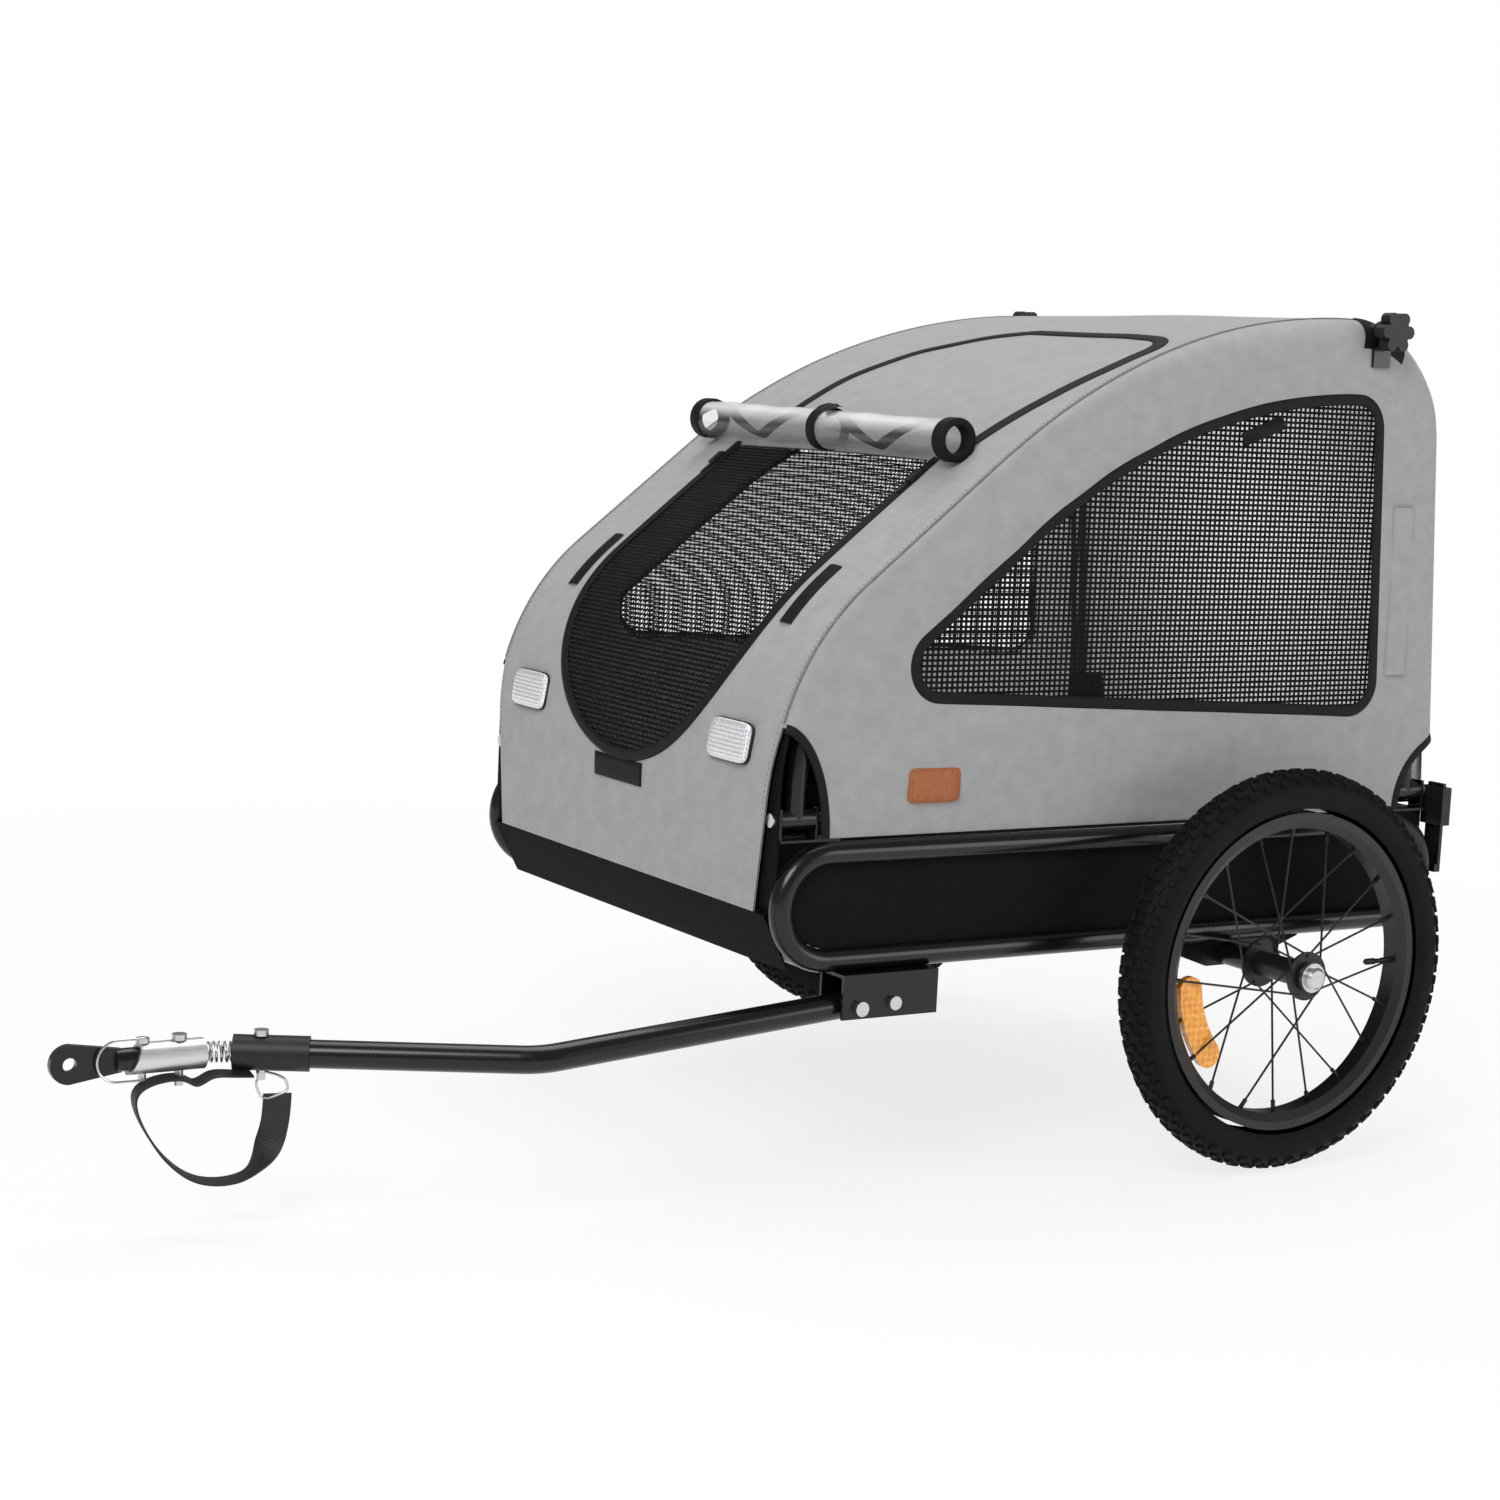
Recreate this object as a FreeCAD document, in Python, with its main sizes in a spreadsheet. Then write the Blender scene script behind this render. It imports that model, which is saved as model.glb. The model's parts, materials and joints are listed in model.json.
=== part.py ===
import FreeCAD, Part
import Sketcher
import math
import os

from FreeCAD import Placement, Rotation, Vector

# Two-wheeled bicycle trailer for a dog. Lengths in millimetres, angles in degrees.
# +X points forward, towards the bicycle, +Y to the trailer's left and +Z up; z = 0 is the road.
# Stations named front, rear or reach are counted from the wheel axle.

doc = FreeCAD.newDocument("dog_trailer")
sheet = doc.addObject("Spreadsheet::Sheet", "Sizes")

driving = {
    # wheels
    "wheel_dia": 400,
    "wheel_plane": 378,
    "tyre_section": 47,
    "tyre_wall": 3.6,
    "tread_depth": 2.6,
    "tread_slot": 5,
    "tread_groove": 4,
    "rim_dia": 317,
    "rim_depth": 16,
    "rim_width": 30,
    "rim_wall": 2.4,
    "rim_bed": 8,
    "rim_crown": 18,
    "hub_length": 76,
    "hub_shell_dia": 25,
    "hub_end_dia": 28,
    "hub_bore_dia": 14,
    "flange_dia": 48,
    "flange_gap": 66,
    "flange_thick": 3,
    "bearing_dia": 22,
    "bearing_width": 7,
    "axle_dia": 12,
    "axle_head_dia": 29,
    "axle_head_thick": 5,
    "button_dia": 22,
    "button_thick": 6,
    "button_travel": 3,
    "spoke_dia": 2.2,
    "spoke_ring_dia": 40,
    "spoke_offset": 2.6,
    "nipple_dia": 4.4,
    "nipple_length": 12,
    "spoke_bite": 2,
    "wheel_reflector_length": 72,
    "wheel_reflector_width": 27,
    "wheel_reflector_thick": 7,
    "wheel_reflector_reach": 120,
    # chassis
    "rail_tube": 22,
    "rail_plane": 290,
    "rail_low": 224,
    "rail_high": 324,
    "rail_front": 545,
    "rail_rear": 273,
    "cross_front": 492,
    "cross_rear": 220,
    "panel_thick": 4,
    "floor_thick": 4,
    "apron_thick": 3,
    "apron_foot": 212,
    "apron_slant": 27,
    "rear_apron_head": 336,
    "socket_dia": 24,
    "socket_depth": 62,
    "gusset_span": 190,
    "gusset_base": 52,
    "gusset_drop": 25,
    "gusset_thick": 6,
    # folding side frames and cover
    "cover_front": 545,
    "cover_foot": 268,
    "nose_radius": 250,
    "roof_radius": 725,
    "roof_height": 841,
    "rear_radius": 105,
    "rear_foot": 273,
    "cloth": 2.5,
    "cover_side": 290,
    "shoulder_depth": 28,
    "shoulder_radius": 26,
    "side_wall": 3,
    "side_lift": 3,
    "notch_front_long": 56,
    "notch_front_rise": 87,
    "notch_rear_long": 56,
    "notch_rear_rise": 59,
    "window_inset": 83,
    "window_foot": 444,
    "window_rear": 174,
    "window_corner": 28,
    "net_lap": 8,
    "net_thick": 1.5,
    "net_pitch": 33,
    "net_cord": 6,
    "bow_tube": 19,
    "bow_inset": 29,
    "bow_plane": 277.2,
    "hinge_height": 355,
    "barrel_length": 36,
    "hinge_bolt_dia": 8,
    "bolt_head_dia": 13,
    "bolt_head_thick": 5,
    "ear_thick": 3,
    "ear_head": 11,
    "ear_width": 18,
    "hinge_foot_thick": 2.4,
    "hinge_foot_reach": 22,
    "crossbar_tube": 16,
    "crossbar_set": 12.8,
    "hook_thick": 5,
    "hook_width": 22,
    "hook_drop": 36,
    "knob_dia": 42,
    "knob_thick": 13,
    "knob_boss_dia": 20,
    "knob_boss_thick": 8,
    "knob_lobe_dia": 13,
    "latch_bar_width": 22,
    "latch_bar_thick": 4,
    "latch_bar_length": 86,
    "latch_bar_drop": 77,
    "latch_spacer": 4,
    "latch_wall": 4,
    "latch_length": 40,
    "door_gap": 0.6,
    "door_thick": 3,
    "door_foot": 341,
    "door_margin": 18,
    "reflector_width": 72,
    "reflector_height": 38,
    "reflector_thick": 8,
    "reflector_corner": 5,
    "reflector_plane": 205,
    "reflector_level": 419,
    "mesh_half": 183,
    "mesh_foot": 381,
    "mesh_drop": 159,
    "mesh_thick": 1,
    "roll_dia": 44,
    "roll_length": 450,
    "roll_sheet": 1,
    "roll_pitch": 3.4,
    # drawbar and hitch
    "bracket_length": 106,
    "bracket_nip_length": 14,
    "bracket_nip_height": 18,
    "bracket_width": 40,
    "bracket_height": 42,
    "bracket_wall": 3,
    "bracket_rear": 368,
    "pivot_station": 418,
    "pivot_height": 184,
    "pin_gap": 37,
    "draw_bolt_dia": 8,
    "lock_head_dia": 14,
    "drawbar_tube": 25,
    "drawbar_wall": 2,
    "drawbar_stub": 16,
    "drawbar_run": 357,
    "drawbar_arm": 265,
    "drawbar_bend": 70,
    "sleeve_dia": 31,
    "sleeve_length": 66,
    "sleeve_bolt_set": 24,
    "sleeve_bolt_dia": 8,
    "sleeve_bolt_proud": 8,
    "spring_wire": 2.4,
    "spring_dia": 19,
    "spring_show": 26,
    "spring_hide": 8,
    "coupler_dia": 27,
    "coupler_bore": 21,
    "coupler_length": 68,
    "coupler_core": 22,
    "coupler_bolt_dia": 8,
    "coupler_bolt_proud": 13,
    "lug_neck_dia": 20,
    "lug_plate_thick": 7,
    "lug_plate_width": 34,
    "lug_reach": 50,
    "eye_dia": 12,
    "hitch_pin_set": 14,
    "hitch_pin_dia": 7,
    "hitch_pin_proud": 6,
    "hitch_pin_head_dia": 12,
    "hitch_pin_head_thick": 4,
    "clip_wire": 2.2,
    "clip_reach": 42,
    "strap_width": 25,
    "strap_thick": 2,
    "ring_wire": 3,
    "ring_width": 30,
    "ring_height": 14,
    # fits
    "run_clear": 0.05,
    "seat_gap": 0.3,
    "overrun": 5,
}

# Sizes that follow from the driving ones.
derived = {
    "wheel_radius": "=wheel_dia / 2",
    "axle_height": "=wheel_dia / 2",
    "rim_edge": "=rim_dia / 2",
    "rim_floor": "=rim_dia / 2 - rim_bed",
    "rim_inner": "=rim_dia / 2 - rim_depth",
    "rim_half": "=rim_width / 2",
    "rim_lip": "=rim_width / 2 - rim_wall",
    "rim_flat": "=rim_crown / 2",
    "hub_half": "=hub_length / 2",
    "shank_length": "=wheel_plane - rail_plane + socket_depth / 2 + hub_length / 2 + 2 * seat_gap",
    "hub_seat": "=hub_length / 2 - bearing_width",
    "hub_end": "=hub_end_dia / 2",
    "hub_shell": "=hub_shell_dia / 2",
    "hub_bore": "=hub_bore_dia / 2",
    "bearing_outer": "=bearing_dia / 2",
    "bearing_inner": "=axle_dia / 2 + run_clear",
    "flange_out": "=flange_gap / 2 + flange_thick / 2",
    "flange_in": "=flange_gap / 2 - flange_thick / 2",
    "flange_radius": "=flange_dia / 2",
    "rail_radius": "=rail_tube / 2",
    "rail_top": "=rail_high + rail_tube / 2",
    "rail_foot": "=rail_low - rail_tube / 2",
    "rail_inner": "=rail_plane - rail_tube / 2 - seat_gap",
    "side_bottom": "=rail_high + rail_tube / 2 + side_lift",
    "floor_top": "=rail_low + rail_tube / 2 + seat_gap + floor_thick",
    "crossbar_height": "=roof_height - cloth - crossbar_tube / 2 - 4 * seat_gap",
    "latch_rear": "=rail_rear + seat_gap + latch_spacer + latch_bar_thick + seat_gap + latch_wall",
    "bracket_top": "=rail_low - rail_tube / 2 - seat_gap",
    "notch_front_high": "=hinge_height - side_bottom + notch_front_rise",
    "notch_rear_high": "=hinge_height - side_bottom + notch_rear_rise",
    "latch_bar_foot": "=hinge_height - latch_bar_drop",
    "mesh_head": "=roof_height - mesh_drop",
}

for row, (alias, content) in enumerate(list(driving.items()) + list(derived.items()), start=1):
    sheet.set(f"A{row}", alias)
    sheet.set(f"B{row}", str(content))
    sheet.setAlias(f"B{row}", alias)
doc.recompute()


def size(alias):
    return float(sheet.get(alias))


# Angles of the frame, in degrees.
slopeAngle = 39
windowRise = 2.5
windowLean = 3.3
rearLean = 4.35
drawbarPitch = 4.65
drawbarTurn = 27

# Where the drawbar runs: straight ahead from its pivot, then turned in towards the bicycle.
pitch = math.radians(drawbarPitch)
turn = math.radians(drawbarTurn)
pivot = Vector(size("pivot_station"), size("rail_plane"), size("pivot_height"))
ahead = Vector(math.cos(pitch), 0, -math.sin(pitch))
armWay = Vector(math.cos(turn), -math.sin(turn), 0)
elbow = pivot + ahead * size("drawbar_run")
tubeEnd = elbow + armWay * size("drawbar_arm")
springBend = size("spring_show") / turn
couplerStart = tubeEnd + Vector(springBend * math.sin(turn), -springBend * (1 - math.cos(turn)), 0)
couplerEnd = couplerStart + Vector(size("coupler_length"), 0, 0)
eye = couplerEnd + Vector(size("lug_reach"), 0, 0)

# The origin is under the middle of the overall length, so the axle stands behind it.
frontReach = eye.x + size("lug_plate_width") / 2
axleX = (size("latch_rear") - frontReach) / 2
lastRow = len(driving) + len(derived) + 1
for row, (alias, content) in enumerate(
    {"axle_x": axleX, "hitch_plane": couplerStart.y, "hitch_height": couplerStart.z,
     "coupler_rear": couplerStart.x, "coupler_front": couplerEnd.x}.items(), start=lastRow
):
    sheet.set(f"A{row}", alias)
    sheet.set(f"B{row}", repr(content))
    sheet.setAlias(f"B{row}", alias)
doc.recompute()

parts = []
yAxis = Vector(0, 1, 0)
zAxis = Vector(0, 0, 1)
xAxis = Vector(1, 0, 0)
atAxle = Vector(axleX, 0, 0)


# Document helpers

def expression(text):
    known = set(driving) | set(derived)
    known |= {"axle_x", "hitch_plane", "hitch_height", "coupler_rear", "coupler_front"}
    words = text.replace("(", " ( ").replace(")", " ) ").split()
    return " ".join("Sizes." + word if word in known else word for word in words)


def place(thing, x="0", y="0", z="0", turned=None):
    if turned is not None:
        thing.Placement = Placement(Vector(), turned)
    thing.setExpression("Placement.Base.x", expression(x))
    thing.setExpression("Placement.Base.y", expression(y))
    thing.setExpression("Placement.Base.z", expression(z))
    return thing


def box(name, length, width, height, x, y, z):
    thing = doc.addObject("Part::Box", name)
    thing.setExpression("Length", expression(length))
    thing.setExpression("Width", expression(width))
    thing.setExpression("Height", expression(height))
    return place(thing, x, y, z)


# A cylinder from its base point, along X, Y or Z.
def rod(name, radius, height, x, y, z, along="Z"):
    thing = doc.addObject("Part::Cylinder", name)
    thing.setExpression("Radius", expression(radius))
    thing.setExpression("Height", expression(height))
    ways = {"X": Rotation(yAxis, 90), "Y": Rotation(xAxis, -90), "Z": Rotation()}
    return place(thing, x, y, z, ways[along])


def cut(name, base, tool):
    thing = doc.addObject("Part::Cut", name)
    thing.Base = base
    thing.Tool = tool
    return thing


def fuse(name, pieces):
    thing = doc.addObject("Part::MultiFuse", name)
    thing.Shapes = pieces
    thing.Refine = True
    return thing


def group(name, pieces):
    thing = doc.addObject("Part::Compound", name)
    thing.Links = pieces
    return thing


def plain(name, shape):
    thing = doc.addObject("Part::Feature", name)
    thing.Shape = shape
    thing.Placement = Placement(atAxle, Rotation()).multiply(shape.Placement)
    return thing


def keep(thing, label):
    thing.Label = label
    parts.append(thing)
    return thing


def origin_plane(body, role):
    return next(item for item in body.Origin.OriginFeatures if item.Role == role)


# A closed polygon in a body's sketch; each coordinate is a sheet alias, with its sign.
def polygon_sketch(body, role, corners):
    sketch = body.newObject("Sketcher::SketchObject", body.Name + "_outline")
    sketch.AttachmentSupport = [(origin_plane(body, role), "")]
    sketch.MapMode = "FlatFace"
    points = []
    for across, up in corners:
        points.append(Vector(signed(across), signed(up), 0))
    for index, point in enumerate(points):
        sketch.addGeometry(Part.LineSegment(point, points[(index + 1) % len(points)]), False)
    for index in range(len(points)):
        following = (index + 1) % len(points)
        sketch.addConstraint(Sketcher.Constraint("Coincident", index, 2, following, 1))
    for index, (across, up) in enumerate(corners):
        for way, text, value in (("DistanceX", across, points[index].x), ("DistanceY", up, points[index].y)):
            number = sketch.addConstraint(Sketcher.Constraint(way, -1, 1, index, 1, value))
            sketch.setExpression(f"Constraints[{number}]", expression(text.replace("-", "- 1 * ")))
    return sketch


def signed(text):
    return -size(text[1:]) if text.startswith("-") else size(text)


def revolved(name, corners):
    body = doc.addObject("PartDesign::Body", name)
    sketch = polygon_sketch(body, "XZ_Plane", corners)
    turnOut = body.newObject("PartDesign::Revolution", name + "_turned")
    turnOut.Profile = sketch
    turnOut.ReferenceAxis = (sketch, ["V_Axis"])
    turnOut.Angle = 360
    body.Tip = turnOut
    return body


# Shape helpers; thin wires are drawn with few sides.

wireSides = 8

def segment(start, end):
    return Part.LineSegment(start, end).toShape()


def arc(centre, radius, startAngle, endAngle, plane):
    def at(angle):
        return Vector(centre[0] + radius * math.cos(angle), plane, centre[1] + radius * math.sin(angle))
    return Part.Arc(at(startAngle), at((startAngle + endAngle) / 2), at(endAngle)).toShape()


# Straight runs joined by tangent arcs through a list of points; a radius for each inner point.
def rounded_path(points, radii):
    edges = []
    last = points[0]
    for before, corner, after, radius in zip(points, points[1:], points[2:], radii):
        come = (corner - before).normalize()
        leave = (after - corner).normalize()
        half = come.getAngle(leave) / 2
        reach = radius * math.tan(half)
        start = corner - come * reach
        end = corner + leave * reach
        inward = (leave - come).normalize()
        middle = corner + inward * (radius / math.cos(half) - radius)
        if (start - last).Length > size("run_clear"):
            edges.append(segment(last, start))
        edges.append(Part.Arc(start, middle, end).toShape())
        last = end
    edges.append(segment(last, points[-1]))
    return edges


def tube_along(edges, radius):
    first = edges[0]
    start = first.valueAt(first.FirstParameter)
    way = first.tangentAt(first.FirstParameter)
    ring = Part.Wire(Part.makeCircle(radius, start, way))
    return Part.Wire(edges).makePipeShell([ring], True, False)


# Corners of a regular polygon around a wire's start, square to its way.
def wire_corners(start, way, radius):
    across = way.cross(zAxis if abs(way.z) < way.Length / 2 else xAxis).normalize()
    up = way.cross(across).normalize()
    corners = []
    for index in range(wireSides):
        angle = 2 * math.pi * index / wireSides
        corners.append(start + across * (radius * math.cos(angle)) + up * (radius * math.sin(angle)))
    return corners + corners[:1]


def wire_along(edges, radius):
    first = edges[0]
    start = first.valueAt(first.FirstParameter)
    way = first.tangentAt(first.FirstParameter)
    return Part.Wire(edges).makePipeShell([Part.makePolygon(wire_corners(start, way, radius))], True, False)


def straight_wire(start, end, radius):
    way = end - start
    return Part.Face(Part.makePolygon(wire_corners(start, way, radius))).extrude(way)


def mirrored(shape):
    return shape.mirror(Vector(), yAxis)


def prism(edges, depth):
    return Part.Face(Part.Wire(edges)).extrude(Vector(0, depth, 0))


# The cover's side outline: upright front, round nose, straight slope, arched roof and round
# rear corner, drawn a given distance inside the outer line, in the plane y = plane.

class Outline:
    def __init__(self, inset, plane):
        slope = math.radians(slopeAngle)
        lean = math.radians(rearLean)
        self.plane = plane
        self.rearNormal = (-math.cos(lean), math.sin(lean))
        foot = (-size("rear_foot"), size("rail_top"))
        self.cornerRadius = size("rear_radius") - inset
        cornerZ = size("roof_height") - size("rear_radius")
        along = self.rearNormal[0] * foot[0] + self.rearNormal[1] * foot[1] - size("rear_radius")
        self.corner = ((along - self.rearNormal[1] * cornerZ) / self.rearNormal[0], cornerZ)
        self.roof = (self.corner[0], size("roof_height") - size("roof_radius"))
        self.roofRadius = size("roof_radius") - inset
        normal = (math.sin(slope), math.cos(slope))
        self.slopeTop = math.pi / 2 - slope
        line = normal[0] * self.roof[0] + normal[1] * self.roof[1] + size("roof_radius")
        noseX = size("cover_front") - size("nose_radius")
        self.nose = (noseX, (line - size("nose_radius") - normal[0] * noseX) / normal[1])
        self.noseRadius = size("nose_radius") - inset
        self.front = size("cover_front") - inset
        self.lean = lean

    def point(self, x, z):
        return Vector(x, self.plane, z)

    def on(self, centre, radius, angle):
        return self.point(centre[0] + radius * math.cos(angle), centre[1] + radius * math.sin(angle))

    def rear_point(self, z):
        end = self.on(self.corner, self.cornerRadius, math.pi - self.lean)
        return self.point(end.x - (end.z - z) * math.tan(self.lean), z)

    # How far round the nose the front has turned at a height, none where it is still upright.
    def front_turn(self, z):
        return math.asin(max(z - self.nose[1], 0) / self.noseRadius)

    def front_point(self, z):
        return self.point(self.on(self.nose, self.noseRadius, self.front_turn(z)).x, z)

    # Edges from the front foot over the roof to the end of the rear corner.
    def over(self, frontFoot):
        turn = self.front_turn(frontFoot)
        noseStart = self.on(self.nose, self.noseRadius, turn)
        noseEnd = self.on(self.nose, self.noseRadius, self.slopeTop)
        roofStart = self.on(self.roof, self.roofRadius, self.slopeTop)
        upright = [] if turn > 0 else [segment(self.front_point(frontFoot), noseStart)]
        return upright + [
            arc(self.nose, self.noseRadius, turn, self.slopeTop, self.plane),
            segment(noseEnd, roofStart),
            arc(self.roof, self.roofRadius, self.slopeTop, math.pi / 2, self.plane),
            arc(self.corner, self.cornerRadius, math.pi / 2, math.pi - self.lean, self.plane),
        ]

    # The same, and down the rear to a foot.
    def whole(self, frontFoot, rearFoot):
        cornerEnd = self.on(self.corner, self.cornerRadius, math.pi - self.lean)
        return self.over(frontFoot) + [segment(cornerEnd, self.rear_point(rearFoot))]

    def closed(self, foot):
        edges = self.whole(foot, foot)
        return edges + [segment(self.rear_point(foot), self.front_point(foot))]

    # A cylinder's place outside the slope and roof, by its angle on the roof's arc.
    def roof_spot(self, angle, standOff):
        return self.on(self.roof, self.roofRadius + standOff, angle)


# A sheet between two insets, from the front foot to the end of the rear corner.
def sheet_over(outer, inner, half, frontFoot):
    out = Outline(outer, -half)
    inn = Outline(inner, -half)
    ends = [
        segment(out.front_point(frontFoot), inn.front_point(frontFoot)),
        segment(out.on(out.corner, out.cornerRadius, math.pi - out.lean),
                inn.on(inn.corner, inn.cornerRadius, math.pi - inn.lean)),
    ]
    border = Part.Wire(Part.__sortEdges__(out.over(frontFoot) + inn.over(frontFoot) + ends))
    return Part.Face(border).extrude(Vector(0, 2 * half, 0))


# Wheels

rimCorners = [
    ("rim_edge", "rim_half"),
    ("rim_edge", "rim_lip"),
    ("rim_floor", "rim_lip"),
    ("rim_floor", "-rim_lip"),
    ("rim_edge", "-rim_lip"),
    ("rim_edge", "-rim_half"),
    ("rim_floor", "-rim_half"),
    ("rim_inner", "-rim_flat"),
    ("rim_inner", "rim_flat"),
    ("rim_floor", "rim_half"),
]
hubCorners = [
    ("bearing_outer", "-hub_half"),
    ("hub_end", "-hub_half"),
    ("hub_end", "-flange_out"),
    ("flange_radius", "-flange_out"),
    ("flange_radius", "-flange_in"),
    ("hub_shell", "-flange_in"),
    ("hub_shell", "flange_in"),
    ("flange_radius", "flange_in"),
    ("flange_radius", "flange_out"),
    ("hub_end", "flange_out"),
    ("hub_end", "hub_half"),
    ("bearing_outer", "hub_half"),
    ("bearing_outer", "hub_seat"),
    ("hub_bore", "hub_seat"),
    ("hub_bore", "-hub_seat"),
    ("bearing_outer", "-hub_seat"),
]
spokeCount = 20
treadCount = 36
treadStaggerShare = 0.5
shoulderAngle = 62
treadFlatCount = 6
sideFlatCount = 3
cavityFlatCount = 6
spokeLead = 62
reflectorAngle = 23


# Tyre in the wheel's own frame, its axle along Z: a hollow casing with a knobbly tread.
def tyre_shape():
    ringRadius = size("wheel_radius") - size("tyre_section") / 2
    section = size("tyre_section") / 2
    casing = section - size("tread_depth")
    cavity = casing - size("tyre_wall")
    bead = size("rim_lip") - 2 * size("seat_gap")
    seat = size("rim_floor") + 3 * size("seat_gap")
    centre = (ringRadius, 0)
    rise = math.radians(shoulderAngle)

    def at(radius, angle):
        return Vector(centre[0] + radius * math.cos(angle), 0, radius * math.sin(angle))

    lip = size("tyre_wall")
    casingAngle = math.pi - math.asin(bead / casing)
    cavityAngle = math.pi - math.asin((bead - lip) / cavity)

    # Points along part of the round section, a flat for each step.
    def round_points(radius, start, end, flats):
        return [at(radius, start + (end - start) * index / flats) for index in range(flats + 1)]

    half = round_points(casing, rise, casingAngle, sideFlatCount)
    beads = [Vector(seat, 0, bead), Vector(seat, 0, bead - lip)]
    inside = round_points(cavity, cavityAngle, -cavityAngle, cavityFlatCount)
    outside = round_points(section, -rise, rise, treadFlatCount)
    low = [Vector(point.x, 0, -point.z) for point in reversed(half)]
    lowBeads = [Vector(point.x, 0, -point.z) for point in reversed(beads)]
    corners = outside + half + beads + inside + lowBeads + low
    ring = Part.Face(Part.makePolygon(corners + corners[:1])).revolve(Vector(), zAxis, 360)
    slots = []
    step = 360 / treadCount
    for flank in (1, -1):
        for index in range(treadCount):
            angle = (index + (treadStaggerShare if flank < 0 else 0)) * step
            slot = Part.makeBox(
                size("tyre_section"), size("tread_slot"), section,
                Vector(ringRadius + casing * math.cos(rise) / 2, -size("tread_slot") / 2, 0))
            if flank < 0:
                slot = slot.mirror(Vector(), zAxis)
            slot.rotate(Vector(), zAxis, angle)
            slots.append(slot)
    groove = Part.makeCylinder(size("wheel_dia"), size("tread_groove"),
                               Vector(0, 0, -size("tread_groove") / 2))
    band = Part.makeCompound(slots + [groove])
    crown = round_points(casing, -rise, rise, treadFlatCount)
    core = Part.Face(Part.makePolygon(low + crown[1:-1] + half + low[:1])).revolve(Vector(), zAxis, 360)
    return ring.cut(band.cut(core))


# Crossed spokes with their nipples, ten to each flange.
def spoke_shape():
    pieces = []
    flangeMiddle = size("flange_gap") / 2
    ringRadius = size("spoke_ring_dia") / 2
    rimRadius = size("rim_inner") + size("spoke_bite")
    for index in range(spokeCount):
        side = 1 if index % 2 == 0 else -1
        lead = 1 if (index // 2) % 2 == 0 else -1
        rimAngle = 2 * math.pi * index / spokeCount
        hubAngle = rimAngle + lead * math.radians(spokeLead)
        height = side * (flangeMiddle + lead * size("spoke_offset"))
        start = Vector(ringRadius * math.cos(hubAngle), ringRadius * math.sin(hubAngle), height)
        end = Vector(rimRadius * math.cos(rimAngle), rimRadius * math.sin(rimAngle), 0)
        spoke = straight_wire(start, end, size("spoke_dia") / 2)
        nippleStart = end - (end - start).normalize() * size("nipple_length")
        nipple = straight_wire(nippleStart, end, size("nipple_dia") / 2)
        pieces.append(spoke.fuse(nipple).removeSplitter())
    return Part.makeCompound(pieces)


# Long curved reflector that lies between the spokes, following the rim.
def wheel_reflector_shape(side):
    reach = size("wheel_reflector_reach")
    width = size("wheel_reflector_width")
    half = size("wheel_reflector_length") / reach / 2
    inner = reach - width / 2
    outer = reach + width / 2
    middle = side * math.radians(reflectorAngle)

    def at(radius, angle):
        return Vector(radius * math.cos(angle), radius * math.sin(angle), -size("wheel_reflector_thick") / 2)

    def bow(radius, start, end):
        return Part.Arc(at(radius, start), at(radius, (start + end) / 2), at(radius, end)).toShape()

    low = middle - half
    high = middle + half
    round_high = Part.Arc(at(outer, high), at(reach, high + width / 2 / reach), at(inner, high)).toShape()
    round_low = Part.Arc(at(inner, low), at(reach, low - width / 2 / reach), at(outer, low)).toShape()
    edges = [bow(outer, low, high), round_high, bow(inner, high, low), round_low]
    return Part.Face(Part.Wire(edges)).extrude(Vector(0, 0, size("wheel_reflector_thick")))


def on_wheel(thing, side):
    thing.Placement = Placement(Vector(), Rotation(xAxis, -90 * side))
    return place_at(thing, "axle_x", "wheel_plane", "axle_height", side)


def place_at(thing, x, y, z, side):
    thing.setExpression("Placement.Base.x", expression(x))
    thing.setExpression("Placement.Base.y", expression(y if side > 0 else "0 - " + y))
    thing.setExpression("Placement.Base.z", expression(z))
    return thing


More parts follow.
